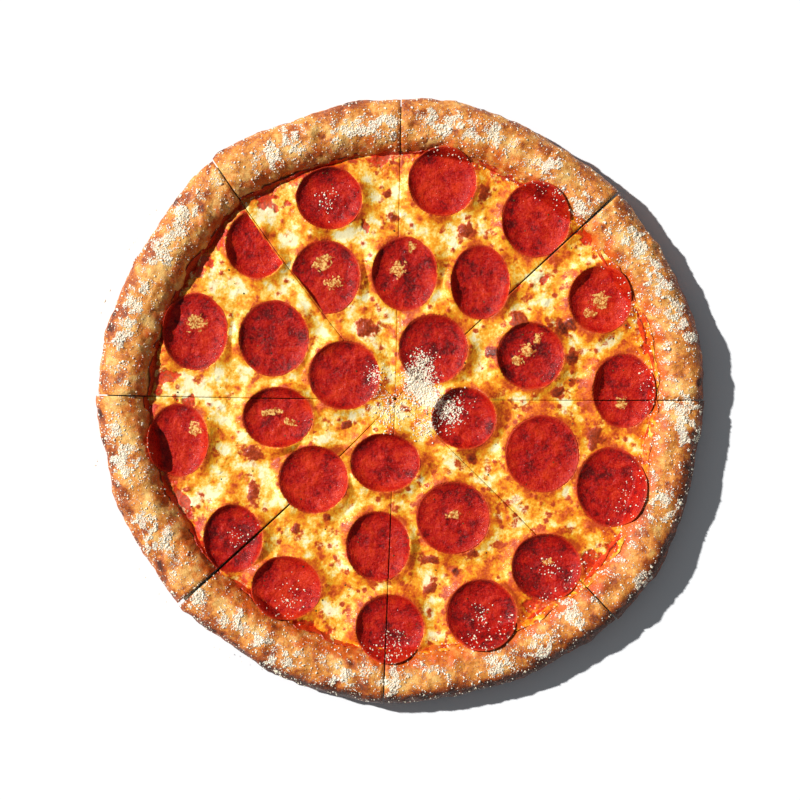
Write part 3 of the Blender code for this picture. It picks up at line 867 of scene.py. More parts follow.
class Work:
    """What every sub-assembly does with a finished mesh."""

    @staticmethod
    def link(form: bmesh.types.BMesh, name: str) -> bpy.types.Object:
        """Turns a bmesh into an object in the scene.

        Args:
            form: the mesh, which is used up.
            name: the object's name.

        Returns:
            The object, at the origin.
        """
        mesh = bpy.data.meshes.new(name)
        form.to_mesh(mesh)
        form.free()
        piece = bpy.data.objects.new(name, mesh)
        bpy.context.scene.collection.objects.link(piece)
        return piece

    @staticmethod
    def grid(name: str, columns: int, rows: int, size: float = 1.0) -> bpy.types.Object:
        """Makes a flat grid that reaches a size from its middle, with so many cells each way."""
        form = bmesh.new()
        bmesh.ops.create_grid(form, x_segments=columns, y_segments=rows, size=size)
        return Work.link(form, name)

    @staticmethod
    @contextmanager
    def edit(mesh: bpy.types.Mesh) -> Iterator[bmesh.types.BMesh]:
        """Opens a mesh for changes and writes it back, its faces turned outwards."""
        form = bmesh.new()
        form.from_mesh(mesh)
        yield form
        bmesh.ops.recalc_face_normals(form, faces=form.faces)
        form.to_mesh(mesh)
        form.free()

    @staticmethod
    def corners(made: list) -> list:
        """The corners among what an operator made."""
        return [g for g in made if isinstance(g, bmesh.types.BMVert)]

    @staticmethod
    def edges(made: list) -> list:
        """The edges among what an operator made."""
        return [g for g in made if isinstance(g, bmesh.types.BMEdge)]

    @staticmethod
    def points(mesh: bpy.types.Mesh) -> np.ndarray:
        """The mesh's points, one row each."""
        flat = np.empty(len(mesh.vertices) * 3)
        mesh.vertices.foreach_get("co", flat)
        return flat.reshape(-1, 3)

    @staticmethod
    def move(mesh: bpy.types.Mesh, x: np.ndarray, y: np.ndarray, z: np.ndarray) -> None:
        """Puts the mesh's points at new places."""
        mesh.vertices.foreach_set("co", np.stack((x, y, z), axis=-1).astype(np.float32).ravel())
        mesh.update()

    @staticmethod
    def mark(mesh: bpy.types.Mesh, **marks: np.ndarray) -> None:
        """Stores numbers at the mesh's points, under their names."""
        for name, values in marks.items():
            layer = mesh.attributes.new(name, "FLOAT", "POINT")
            layer.data.foreach_set("value", np.clip(values, 0.0, 1.0).astype(np.float32))

    @staticmethod
    def dress(piece: bpy.types.Object, slot: Slot, *materials: bpy.types.Material) -> None:
        """Gives the piece its materials, and lets it ride with the pizza."""
        for material in materials:
            piece.data.materials.append(material)
        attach(piece, BODY)

    @staticmethod
    def smooth(mesh: bpy.types.Mesh) -> None:
        """Shades the mesh smoothly."""
        mesh.polygons.foreach_set("use_smooth", np.ones(len(mesh.polygons), bool))
        mesh.update()


def spot_mask(
    x: np.ndarray, y: np.ndarray, spots: Sequence[tuple], ragged: float, seed: int
) -> np.ndarray:
    """How deep inside any of a list of round spots places lie.

    Args:
        x: places across, in metres.
        y: places up, in metres.
        spots: column, row and half widths in pixels, then perhaps a turn in degrees.
        ragged: how much the spots' edges wander.
        seed: another seed wanders otherwise.

    Returns:
        1 in the spots' middles, 0 at their edges and beyond.
    """
    best = np.zeros_like(x)
    wobble = ragged * ripple(x, y, 6.0 * MM, seed, 3)
    for spot in spots:
        middle_x, middle_y = from_photo(spot[0], spot[1])
        half_x = spot[2] * PIXEL
        half_y = (spot[3] if len(spot) > 3 else spot[2]) * PIXEL
        turn = math.radians(spot[4]) if len(spot) > 4 else 0.0
        dx = (x - middle_x) * math.cos(turn) + (y - middle_y) * math.sin(turn)
        dy = (y - middle_y) * math.cos(turn) - (x - middle_x) * math.sin(turn)
        best = np.maximum(best, 1.0 - np.hypot(dx / half_x, dy / half_y) + wobble)
    return np.clip(best, 0.0, 1.0)


def cheese_level(x: np.ndarray, y: np.ndarray) -> np.ndarray:
    """The height of the cheese away from the rim, without its fine relief."""
    return CHEESE_LEVEL + CHEESE_LUMP * wander(x, y, LUMP_SCALE, 9.2)


def ground(x: np.ndarray, y: np.ndarray, bare: bool = False) -> np.ndarray:
    """The height of the cheese or the rim at places, without its fine relief.

    Args:
        x: places across, in metres.
        y: places up, in metres.
        bare: whether to leave the cheese out.

    Returns:
        The heights.
    """
    z = np.full_like(x, BED_HEIGHT)
    level = BED_HEIGHT if bare else cheese_level(x, y)
    for plan in SLICES:
        share, distance = plan.inside(x, y)
        reach, width, crest = plan.rim_at(np.clip(share, 0.0, 1.0))
        inset = np.maximum(reach - distance, 0.0)
        lean = np.clip(1.0 - inset / CREST_INSET, 0.0, 1.0) ** (1.0 / SHOULDER_FULLNESS)
        over = BELLY_HEIGHT + (crest - BELLY_HEIGHT) * np.sqrt(1.0 - lean * lean) ** SHOULDER_FULLNESS
        dough = np.where(inset < CREST_INSET, over, np.maximum(slope_height(inset, width, crest), level))
        z = np.where(share < 1.0, dough, z)
    return z


@lru_cache(maxsize=None)
def middle_of(disc: Disc) -> float:
    """The height of the underside of a pepperoni slice at its middle."""
    return float(ground(np.array([disc.x * MM]), np.array([disc.y * MM]))[0]) - disc.sink


def disc_low(disc: Disc, x: np.ndarray, y: np.ndarray) -> np.ndarray:
    """The height of a pepperoni slice's underside at places.

    Args:
        disc: the slice.
        x: places across.
        y: places up.

    Returns:
        The heights, where the slice has cupped or climbs the rim.
    """
    cup = middle_of(disc) + disc.lift(x, y) * np.minimum(disc.ring(x, y), 1.1) ** CUP_POWER
    return soft_max(ground(x, y, bare=True) + CLEARANCE, cup, 0.3 * MM)


def dusting(x: np.ndarray, y: np.ndarray) -> np.ndarray:
    """How thickly grated cheese covers the rim at places, from 0 to 1."""
    patches = ease(spot_mask(x, y, RIM_PATCHES, 1.1, 51), 0.0, 0.7)
    off_crest = np.hypot(x - HUB[0], y - HUB[1]) - 162.0 * MM
    drift = ease(ripple(x, y, 8.0 * MM, 52, 5), 0.0, 0.7) * np.exp(-((off_crest / (8.0 * MM)) ** 2))
    return np.clip(patches + 0.6 * drift, 0.0, 1.0)


@dataclass
class DoughBase:
    """The eight slices of baked dough with their raised rim."""

    columns: int = 190
    underside_steps: int = 26
    side_steps: int = 14
    shoulder_steps: int = 30
    slope_steps: int = 36
    bed_steps: int = 12
    pieces: list = field(default_factory=list)

    def section(
        self, reach: np.ndarray, width: np.ndarray, crest: np.ndarray
    ) -> tuple[np.ndarray, np.ndarray]:
        """The rim's section at each column, from the point's underside out, up and back over the top.

        Args:
            reach: how far the slice reaches at each column.
            width: the rim's width there.
            crest: the rim's height there.

        Returns:
            Distances from the point and heights, one row for each column.
        """
        reach, width, crest = reach[:, None], width[:, None], crest[:, None]
        level = np.ones_like(reach)
        share = np.linspace(0.0, 1.0, self.underside_steps, endpoint=False)
        underside = (reach - FOOT_INSET) * share
        parts = [(underside, np.zeros_like(underside))]
        angle = np.linspace(0.0, 0.5 * math.pi, self.side_steps, endpoint=False)
        out = reach - FOOT_INSET * (1.0 - np.sin(angle))
        parts.append((out, level * BELLY_HEIGHT * (1.0 - np.cos(angle))))
        angle = np.linspace(0.5 * math.pi, 0.0, self.shoulder_steps, endpoint=False)
        rise = (crest - BELLY_HEIGHT) * np.cos(angle) ** SHOULDER_FULLNESS
        back = CREST_INSET * (1.0 - np.sin(angle) ** SHOULDER_FULLNESS)
        parts.append((reach - back, BELLY_HEIGHT + rise))
        down = 1.0 - (1.0 - np.linspace(0.0, 1.0, self.slope_steps, endpoint=False)) ** 1.5
        inset = CREST_INSET + (width - CREST_INSET) * down
        parts.append((reach - inset, slope_height(inset, width, crest)))
        bed = (reach - width) * np.linspace(1.0, 0.0, self.bed_steps + 1)
        parts.append((bed, np.full_like(bed, BED_HEIGHT)))
        return np.hstack([p[0] for p in parts]), np.hstack([p[1] for p in parts])

    @staticmethod
    def bulge(along: np.ndarray, around: np.ndarray) -> np.ndarray:
        """How far the skin bulges at places along the rim and around its section."""
        lump = 0.9 * MM * ripple(along, around, 24.0 * MM, 11, 2)
        lump += 0.55 * MM * ripple(along, around, 7.5 * MM, 12, 3)
        near, own = bubbles(along, around, 13.0 * MM, 15)
        return lump + 1.1 * MM * ease(1.0 - near, 0.45, 1.0) * ease(own, 0.62, 0.95)

    @staticmethod
    def marks(
        place: tuple[np.ndarray, np.ndarray, np.ndarray], skin: tuple[np.ndarray, np.ndarray],
        inset: np.ndarray,
    ) -> dict[str, np.ndarray]:
        """Works out how the skin has baked, with painted light and shade that follow the light's
        direction.

        Args:
            place: x, y and height of each point.
            skin: how far each point lies along the rim and around its section.
            inset: how far each point lies in from the edge.

        Returns:
            The marks toast (browning with painted light and shade), oil and dust.
        """
        x, y, high = place
        outward = np.arctan2(y - HUB[1], x - HUB[0])
        lit = np.cos(outward - math.radians(156.0))
        # The lower right, away from the light: darkening there is painted shade, while the extra oil
        # there is the crust's own.
        lower_right_shade_and_oil = np.exp(-(((outward + math.radians(62.0)) / math.radians(58.0)) ** 2))
        upper = high > BED_HEIGHT * 0.9
        inner = ease(inset, CREST_INSET + 2.0 * MM, CREST_INSET + 14.0 * MM) * upper
        outer = 1.0 - ease(inset, 1.0 * MM, 13.0 * MM)
        # Painted shade: the outermost edge darkens towards the lower right, the side away from the
        # light.
        brink_shade = 1.0 - ease(inset, 0.0, 6.5 * MM)
        brink_shade *= ease(np.cos(outward + math.radians(55.0)), -0.1, 0.7)
        side = 1.0 - ease(high, 2.0 * MM, 14.0 * MM)
        near, own = bubbles(*skin, 8.0 * MM, 31)
        char = ease(0.5 - near, 0.0, 0.4) * ease(own, 0.66, 0.9)
        # Browning from waves and charred spots, with painted light and shade: the lower side darker
        # towards the bottom and more so away from the light, the outer edge and band darker towards the
        # lower right, the outer band a little darker where it faces the light, and the inner slope
        # lighter on the light's side, where it lies in shade, and darker on the far side, where it faces
        # the light.
        toast = 0.27 + 0.34 * ripple(*skin, 14.0 * MM, 21, 5) + 0.36 * char + 0.34 * brink_shade
        toast += outer * (0.2 + 0.04 * lit + 0.4 * lower_right_shade_and_oil) + 0.1 * lower_right_shade_and_oil
        toast += side * (0.28 - 0.16 * lit) - inner * (0.02 + 0.12 * lit)
        oily = 0.55 + 0.25 * lower_right_shade_and_oil + 0.6 * ripple(*skin, 8.0 * MM, 41, 4)
        oil = ease(inset, 15.0 * MM, 26.0 * MM) * upper * oily
        return {"toast": toast, "oil": oil, "dust": dusting(x, y) * ease(high, 13.0 * MM, 18.0 * MM)}

    def build(
        self, plan: SlicePlan, dough: bpy.types.Material, crumb: bpy.types.Material
    ) -> bpy.types.Object:
        """Makes one slice of dough.

        Args:
            plan: where the slice lies.
            dough: the finish of its skin.
            crumb: the finish of its cut faces.

        Returns:
            The piece.
        """
        close = np.array([0.0, 0.3, 0.7, 1.2, 1.8]) * MM / (plan.turn * RIM_UNROLL)
        between = np.linspace(close[-1], 1.0 - close[-1], self.columns)[1:-1]
        share = np.concatenate((close, between, 1.0 - close[::-1]))
        reach, width, crest = plan.rim(share)
        far, high = self.section(reach, width, crest)
        share = np.repeat(share[:, None], far.shape[1], axis=1)
        along = (plan.start + share * plan.turn) * RIM_UNROLL
        steps = np.hypot(np.diff(far, prepend=0.0), np.diff(high, prepend=0.0))
        around = np.cumsum(steps, axis=1)
        inset = reach[:, None] - far

        over, up = np.gradient(far, axis=1), np.gradient(high, axis=1)
        on_rim = ease(high, 0.2 * MM, 5.0 * MM) * (inset < width[:, None] + 2.0 * MM)
        lump = on_rim * self.bulge(along, around) / np.maximum(np.hypot(over, up), 1e-9)
        far, high = far + lump * up, high - lump * over
        x, y = plan.plan(share, np.maximum(far, 0.0))
        top = (inset < CREST_INSET + 4.0 * MM) * (high > BELLY_HEIGHT)
        high = high + DOUGH_LUMP * wander(x, y, LUMP_SCALE, 1.3) * top
        edge = np.minimum(share, 1.0 - share) * plan.turn * far
        pinch = np.exp(-((edge / (0.9 * MM)) ** 2)) * ease(high, 6.0 * MM, 12.0 * MM)
        high = np.maximum(high - 0.9 * MM * pinch, 0.0)

        last_column, last_row = far.shape[0] - 1, far.shape[1] - 1
        piece = Work.grid(f"dough_slice_{plan.number}", last_column, last_row)
        mesh = piece.data
        flat = Work.points(mesh)
        column = np.rint((flat[:, 0] + 1.0) * 0.5 * last_column).astype(int)
        row = np.rint((flat[:, 1] + 1.0) * 0.5 * last_row).astype(int)
        Work.move(mesh, x[column, row], y[column, row], high[column, row])
        marks = self.marks((x, y, high), (along, around), inset)
        Work.mark(mesh, **{name: values[column, row] for name, values in marks.items()})
        with Work.edit(mesh) as form:
            bmesh.ops.remove_doubles(form, verts=form.verts, dist=SAME_PLACE)
            self.close(form, {e for e in form.edges if e.is_boundary})
        Work.smooth(mesh)
        Work.dress(piece, Slot.DOUGH, dough, crumb)
        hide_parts(f"crust_{plan.number}")
        self.pieces.append(piece)
        return piece

    @staticmethod
    def close(form: bmesh.types.BMesh, open_edges: set) -> None:
        """Fills the two cut faces, which meet in a short upright edge at the slice's point.

        Args:
            form: the open skin.
            open_edges: the edges round its opening.
        """
        border = {v for e in open_edges for v in e.verts}
        near = sorted(border, key=lambda v: (v.co.x - HUB[0]) ** 2 + (v.co.y - HUB[1]) ** 2)[:2]
        starts = [e for e in near[0].link_edges if e in open_edges]
        post = form.edges.new(near)
        for start in starts:
            chain = [start]
            corner = start.other_vert(near[0])
            while corner is not near[1]:
                following = next(e for e in corner.link_edges if e in open_edges and e is not chain[-1])
                chain.append(following)
                corner = following.other_vert(corner)
            for made in bmesh.ops.contextual_create(form, geom=chain + [post])["faces"]:
                made.material_index = 1


def close_below(mesh: bpy.types.Mesh, thickness: str, floor: float) -> None:
    """Gives an open sheet its sides and its underside.

    Args:
        mesh: the sheet.
        thickness: the mark that says how thick it is at each point of its border.
        floor: the height of its flat underside.
    """
    with Work.edit(mesh) as form:
        bmesh.ops.remove_doubles(form, verts=form.verts, dist=SAME_PLACE)
        border = [e for e in form.edges if e.is_boundary]
        made = bmesh.ops.extrude_edge_only(form, edges=border)["geom"]
        depth = form.verts.layers.float[thickness]
        for corner in Work.corners(made):
            corner.co.z -= corner[depth]
        made = bmesh.ops.extrude_edge_only(form, edges=Work.edges(made))["geom"]
        corners = Work.corners(made)
        middle = sum((corner.co for corner in corners), Vector()) / len(corners)
        for corner in corners:
            inward = corner.co.lerp(middle, 0.1)
            corner.co = (inward.x, inward.y, floor)
        bmesh.ops.contextual_create(form, geom=Work.edges(made))
    Work.smooth(mesh)


@dataclass
class SauceLayer:
    """The sauce under the cheese, which shows beside the rim."""

    columns: int = 240
    rows: int = 16
    past_foot: float = 2.6 * MM
    thickness: float = 1.0 * MM

    def build(self, plan: SlicePlan, finish: bpy.types.Material) -> bpy.types.Object:
        """Makes one slice's sauce.

        Args:
            plan: where the slice lies.
            finish: the sauce's finish.

        Returns:
            The piece.
        """
        piece = Work.grid(f"sauce_slice_{plan.number}", self.columns, self.rows)
        mesh = piece.data
        flat = Work.points(mesh)
        share = 0.5 + 0.5 * flat[:, 0]
        out = (0.5 + 0.5 * flat[:, 1]) ** 0.35
        reach, width, crest = plan.rim_at(share)
        along = (plan.start + share * plan.turn) * FOOT_UNROLL
        uneven = 1.3 * MM * ripple(along, np.zeros_like(along), 13.0 * MM, 61, 4)
        border = width - self.past_foot + uneven
        far = out * (reach - border)
        inset = reach - far
        x, y = plan.plan(share, far, 0.1 * MM)
        rounded = np.sqrt(ease(inset - border, -0.2 * MM, 2.0 * MM))
        z = slope_height(inset, width, crest) + 0.25 * MM + self.thickness * rounded
        z += 0.25 * MM * ripple(x, y, 4.0 * MM, 62, 3) * rounded
        Work.move(mesh, x, y, z)
        Work.mark(mesh, depth=0.2 * MM + 0.5 * self.thickness * rounded)
        close_below(mesh, "depth", BED_HEIGHT + 0.1 * MM)
        Work.dress(piece, Slot.SAUCE, finish)
        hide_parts(f"sauce_{plan.number}")
        return piece


@dataclass
class CheeseLayer:
    """The melted cheese, one sheet for each slice."""

    cuts: int = 240
    past_foot: float = 1.3 * MM
    climb_right: float = 4.0 * MM
    side_growth: float = 0.2 * MM
    thickness: float = 2.5 * MM
    pieces: list = field(default_factory=list)

    def build(self, plan: SlicePlan, finish: bpy.types.Material) -> bpy.types.Object:
        """Makes one slice's cheese.

        Args:
            plan: where the slice lies.
            finish: the cheese's finish.

        Returns:
            The piece.
        """
        form = bmesh.new()
        form.faces.new([form.verts.new(corner) for corner in ((0, 0, 0), (1, 0, 0), (1, 1, 0))])
        bmesh.ops.subdivide_edges(form, edges=form.edges[:], cuts=self.cuts, use_grid_fill=True)
        piece = Work.link(form, f"cheese_slice_{plan.number}")
        mesh = piece.data
        flat = Work.points(mesh)
        out = flat[:, 0]
        share = np.where(out > 1e-6, flat[:, 1] / np.maximum(out, 1e-6), 0.5)
        reach, width, crest = plan.rim_at(share)
        turned = plan.start + share * plan.turn
        uneven = ripple(turned * FOOT_UNROLL, np.zeros_like(turned), 17.0 * MM, 71, 4)
        climb = self.past_foot + self.climb_right * ease(np.cos(turned + 0.2), -0.3, 0.8)
        border = width - climb + 2.0 * MM * uneven
        far = out * (reach - border)
        inset = reach - far
        edge = inset - border
        x, y = plan.plan(share, far, self.side_growth)
        apart = [disc.beyond(x, y) for disc in DISCS]
        beyond = np.min(apart, axis=0)
        bare = ease(beyond, -1.0 * MM, 2.5 * MM)

        slope = slope_height(inset, width, crest)
        round_off = np.clip(edge / (3.5 * MM), 0.0, 1.0)
        rounded = np.sqrt(round_off * (2.0 - round_off))
        foot = slope + 0.15 * MM
        z = foot + (self.level(x, y, slope, bare, apart) - foot) * rounded
        side = np.minimum(share, 1.0 - share) * plan.turn * far
        z -= 0.2 * MM * np.exp(-((side / (0.5 * MM)) ** 2))
        rise, toast = self.blisters(x, y)
        near, own = bubbles(x, y, 7.0 * MM, 73)
        dome = ease(1.0 - near, 0.55, 1.0) * ease(own, 0.6, 0.9)
        hole = ease(spot_mask(x, y, BARE_SPOTS, 0.7, 75), 0.0, 0.5)
        z += rise + bare * rounded * (0.5 * dome - 0.8 * hole) * MM
        for disc, gap in zip(DISCS, apart):
            z = np.where(gap < -0.5 * MM, np.minimum(z, disc_low(disc, x, y) - CLEARANCE), z)
        Work.move(mesh, x, y, z)

        around = np.arctan2(y - HUB[1], x - HUB[0])
        east = np.cos(around + math.radians(30.0)) * np.minimum(np.hypot(x, y) / (90.0 * MM), 1.0)
        # Browning and seeping sauce along the cheese's edge by the rim, made strongest on the upper
        # left, where the rim's shadow falls: partly painted shade.
        rim_foot_band_and_shade = np.exp(-((edge / (8.0 * MM)) ** 2))
        rim_foot_band_and_shade *= ease(np.cos(around - math.radians(140.0)), -1.1, 0.5)
        near, luck = bubbles(x, y, 5.2 * MM, 68)
        crisp = ease(0.6 - near, 0.0, 0.5) * ease(luck + 0.1 * east, 0.7, 1.0)
        scorch = ease(ripple(x, y, 8.0 * MM, 79, 4) + 0.16 * east, 0.1, 0.8)
        browned = (0.5 * dome * ease(own, 0.7, 0.9), 0.5 * crisp, 0.4 * scorch + 0.32 * rim_foot_band_and_shade)
        toast = np.max((toast, *browned), axis=0)
        seep = 0.6 * ease(rim_foot_band_and_shade * (1.0 + 1.2 * ripple(x, y, 6.0 * MM, 80, 3)), 0.35, 0.9)
        warmth = 0.42 + 0.11 * east + 0.46 * ripple(x, y, 13.0 * MM, 77, 3)
        warmth += 0.2 * ripple(x, y, 5.0 * MM, 78, 2) + 0.12 * rim_foot_band_and_shade
        warmth += 0.42 * np.exp(-np.maximum(beyond, 0.0) / (2.8 * MM))
        depth = np.clip(z - slope - 0.4 * MM, 0.3 * MM, 0.3 * MM + self.thickness * rounded)
        Work.mark(mesh, warmth=warmth, toast=toast, sauce=np.maximum(hole, seep), depth=depth)
        close_below(mesh, "depth", BED_HEIGHT + 0.6 * MM)
        Work.dress(piece, Slot.CHEESE, finish)
        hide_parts(f"cheese_{plan.number}")
        self.pieces.append(piece)
        return piece

    @staticmethod
    def level(
        x: np.ndarray, y: np.ndarray, slope: np.ndarray, bare: np.ndarray, apart: list
    ) -> np.ndarray:
        """The cheese's height, which runs up the rim's slope and banks up round the pepperoni.

        Args:
            x: places across.
            y: places up.
            slope: the height of the dough there.
            bare: 0 under the pepperoni and 1 away from it.
            apart: the distance from each pepperoni slice, below 0 inside.

        Returns:
            The heights.
        """
        flat = cheese_level(x, y)
        relief = 0.5 * MM * ripple(x, y, 9.0 * MM, 72, 4) + 0.25 * MM * ripple(x, y, 2.8 * MM, 69, 2)
        level = soft_max(flat + bare * relief, slope + CLEARANCE, 0.7 * MM)
        for disc, gap in zip(DISCS, apart):
            top = middle_of(disc) + disc.lift(x, y) + 0.84 * SAUSAGE_THICKNESS
            fall = np.exp(-((np.maximum(gap, 0.0) / (5.0 * MM)) ** 1.5))
            level = np.maximum(level, flat + (top - flat) * fall)
        return level

    @staticmethod
    def blisters(x: np.ndarray, y: np.ndarray) -> tuple[np.ndarray, np.ndarray]:
        """The listed blisters' height in metres at places, and how toasted they are."""
        rise, toast = np.zeros_like(x), np.zeros_like(x)
        wobble = 0.5 * ripple(x, y, 5.0 * MM, 74, 4)
        for column, row, half_x, half_y, dark in BLISTERS:
            middle_x, middle_y = from_photo(column, row)
            across, up = (x - middle_x) / (half_x * PIXEL), (y - middle_y) / (half_y * PIXEL)
            ring = np.hypot(across, up) + wobble
            rise += 0.16 * min(half_x, half_y) * PIXEL * np.clip(1.0 - ring * ring, 0.0, 1.0)
            toast = np.maximum(toast, (0.35 + 0.6 * dark) * ease(1.5 - ring, 0.0, 1.1))
        return rise, toast


@dataclass
class PepperoniSlices:
    """The pepperoni slices, which have cupped and crisped in the oven."""

    around: int = 120
    rings: int = 26
    pieces: list = field(default_factory=list)

    def coin(self, name: str) -> bpy.types.Object:
        """Spins the section of a slice of sausage into a flat coin of radius 1 and height 1.

        Args:
            name: the object's name.

        Returns:
            The object.
        """
        section = [(r / 6.0 * 0.97, 0.0) for r in range(7)]
        section += [(0.99, 0.15), (1.0, 0.4), (1.0, 0.65), (0.992, 0.88), (0.975, 1.0), (0.955, 1.0)]
        section += [(0.955 * (1.0 - (i + 1) / self.rings), 0.93) for i in range(self.rings)]
        form = bmesh.new()
        corners = [form.verts.new((r, 0.0, h)) for r, h in section]
        edges = [form.edges.new(pair) for pair in zip(corners, corners[1:])]
        turn = {"axis": (0, 0, 1), "cent": (0, 0, 0), "steps": self.around, "angle": math.tau}
        bmesh.ops.spin(form, geom=corners + edges, use_merge=True, **turn)
        bmesh.ops.remove_doubles(form, verts=form.verts, dist=1e-5)
        bmesh.ops.recalc_face_normals(form, faces=form.faces)
        return Work.link(form, name)

    def build(self, disc: Disc, side: str, finish: bpy.types.Material) -> bpy.types.Object:
        """Makes one pepperoni slice, or one half of a cut one.

        Args:
            disc: where the slice lies.
            side: left or right of its cut, or nothing for a whole one.
            finish: the pepperoni's finish.

        Returns:
            The piece.
        """
        half = f"_{side}" if disc.sides == "both" else ""
        piece = self.coin(f"pepperoni_slice_{disc.number:02d}{half}")
        mesh = piece.data
        flat = Work.points(mesh)
        ring = np.hypot(flat[:, 0], flat[:, 1])
        angle = np.arctan2(flat[:, 1], flat[:, 0])
        luck = np.random.default_rng(900 + disc.number).random(3)
        curl_x, curl_y = np.cos(angle), np.sin(angle)
        own_y = curl_y * 12.0 * MM + disc.number * 40.0 * MM
        edge = ring * (1.0 + 0.022 * ripple(curl_x * 12.0 * MM, own_y, 9.0 * MM, 81, 2))
        x = (disc.x + disc.half_x * edge * curl_x) * MM
        y = (disc.y + disc.half_y * edge * curl_y) * MM
        top = flat[:, 2]
        upper = ease(top, 0.5, 0.9)
        relief = 0.35 * ripple(x, y, 11.0 * MM, 82, 3) + 0.16 * ripple(x, y, 3.0 * MM, 83, 2)
        melt = spot_mask(x, y, BLOTS, 0.3, 84) * upper
        near, own = bubbles(x, y, 6.5 * MM, 85)
        puff = ease(1.0 - near, 0.5, 1.0) * ease(own, 0.7, 0.95)
        rough = relief + 0.5 * puff + 0.5 * ease(melt, 0.0, 0.6)
        z = disc_low(disc, x, y) + SAUSAGE_THICKNESS * top
        z += upper * rough * MM * (1.0 - ring ** 6)
        Work.move(mesh, x, y, z)
        # Painted shade: the tone is a little darker on the upper-left inner edge, where the cupped lip
        # casts its shadow.
        painted_cup_shade = ease(ring * np.cos(angle - math.radians(150.0)), 0.35, 0.95)
        tone = 0.5 + 0.3 * (luck[2] - 0.5) + 0.34 * ripple(x, y, 12.0 * MM, 86, 3) - 0.05 * painted_cup_shade
        Work.mark(mesh, tone=tone, lip=ease(ring, 0.93, 0.97) * upper, melt=ease(melt, 0.0, 0.9))
        if side:
            self.trim(mesh, disc, side)
        Work.smooth(mesh)
        Work.dress(piece, Slot.PEPPERONI, finish)
        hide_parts(f"pepperoni_{disc.number:02d}{half}")
        self.pieces.append(piece)
        return piece

    @staticmethod
    def trim(mesh: bpy.types.Mesh, disc: Disc, side: str) -> None:
        """Cuts a slice along a knife cut and keeps one side of it.

        Args:
            mesh: the slice's mesh.
            disc: where the slice lies.
            side: left or right, looking outwards along the cut.
        """
        place, across = disc.knife(side)
        plane = {"plane_co": place, "plane_no": across, "clear_inner": True}
        with Work.edit(mesh) as form:
            everything = form.verts[:] + form.edges[:] + form.faces[:]
            made = bmesh.ops.bisect_plane(form, geom=everything, **plane)
            bmesh.ops.edgeloop_fill(form, edges=Work.edges(made["geom_cut"]))


@dataclass
class Scatter:
    """Small loose things that lie on the pizza."""

    carriers: list
    trees: list = field(default_factory=list)
    tries: int = 24
    step: float = 0.35 * MM
    steepest: float = 0.3

    def __post_init__(self) -> None:
        """Reads the surfaces that the grains can lie on."""
        graph = bpy.context.evaluated_depsgraph_get()
        for piece in self.carriers:
            points = Work.points(piece.data)
            self.trees.append((points.min(0), points.max(0), BVHTree.FromObject(piece, graph)))

    def land(self, x: float, y: float) -> tuple[Vector, Vector] | None:
        """Finds where something dropped at a place comes to lie.

        Args:
            x: the place across.
            y: the place up.

        Returns:
            The highest point there and the surface's direction, or None beside the pizza.
        """
        best = None
        for low, high, tree in self.trees:
            if not (low[0] <= x <= high[0] and low[1] <= y <= high[1]):
                continue
            spot, normal, _, _ = tree.ray_cast(Vector((x, y, 0.1)), Vector((0.0, 0.0, -1.0)))
            if spot is not None and (best is None or spot.z > best[0].z):
                best = (spot, normal)
        return best

    def rest(self, x: float, y: float) -> tuple[Vector, Vector]:
        """Finds a place near the wanted one that isn't too steep for a grain to rest on.

        Args:
            x: the wanted place across.
            y: the wanted place up.

        Returns:
            The point and the surface's direction there.
        """
        for attempt in range(self.tries):
            aside, angle = self.step * attempt, 2.4 * attempt
            found = self.land(x + aside * math.cos(angle), y + aside * math.sin(angle))
            if found is not None and found[1].z > self.steepest and found[0].z > BED_HEIGHT:
                return found
        return Vector((x, y, CHEESE_LEVEL)), Vector((0.0, 0.0, 1.0))

    def crowd(self, name: str, rounds: int, flatness: float) -> tuple[bpy.types.Object, int]:
        """Makes many copies of one lump by doubling it.

        Args:
            name: the object's name.
            rounds: how often it is doubled.
            flatness: the lump's height for its width.

        Returns:
            The object and how many points one lump has.
        """
        form = bmesh.new()
        bmesh.ops.create_icosphere(form, subdivisions=1, radius=1.0)
        bmesh.ops.scale(form, vec=(1.0, 0.78, flatness), verts=form.verts)
        corners = len(form.verts)
        for _ in range(rounds):
            bmesh.ops.duplicate(form, geom=form.verts[:] + form.edges[:] + form.faces[:])
        return Work.link(form, name), corners

    def strew(
        self, piece: bpy.types.Object, corners: int, places: np.ndarray, sizes: np.ndarray, seed: int
    ) -> None:
        """Lays each lump of a crowd at its own place.

        Args:
            piece: the crowd.
            corners: how many points one lump has.
            places: x and y of each lump.
            sizes: half the width of each lump, in metres.
            seed: another seed turns the lumps otherwise.
        """
        luck = np.random.default_rng(seed)
        flat = Work.points(piece.data).reshape(-1, corners, 3)
        flat = flat * luck.uniform(0.72, 1.25, flat.shape[:2] + (1,))
        turn = luck.uniform(0.0, math.tau, len(flat))[:, None]
        x = flat[:, :, 0] * np.cos(turn) - flat[:, :, 1] * np.sin(turn)
        y = flat[:, :, 0] * np.sin(turn) + flat[:, :, 1] * np.cos(turn)
        z = flat[:, :, 2]
        out = np.empty(flat.shape)
        for i, (place, size) in enumerate(zip(places, sizes)):
            spot, normal = self.rest(float(place[0]), float(place[1]))
            tilt = (normal.x * x[i] + normal.y * y[i]) / max(normal.z, self.steepest)
            out[i, :, 0] = spot.x + size * x[i]
            out[i, :, 1] = spot.y + size * y[i]
            out[i, :, 2] = spot.z + size * (z[i] + 0.25 - tilt)
        Work.move(piece.data, *out.reshape(-1, 3).T)
        Work.mark(piece.data, tone=np.repeat(luck.random(len(flat)), corners))


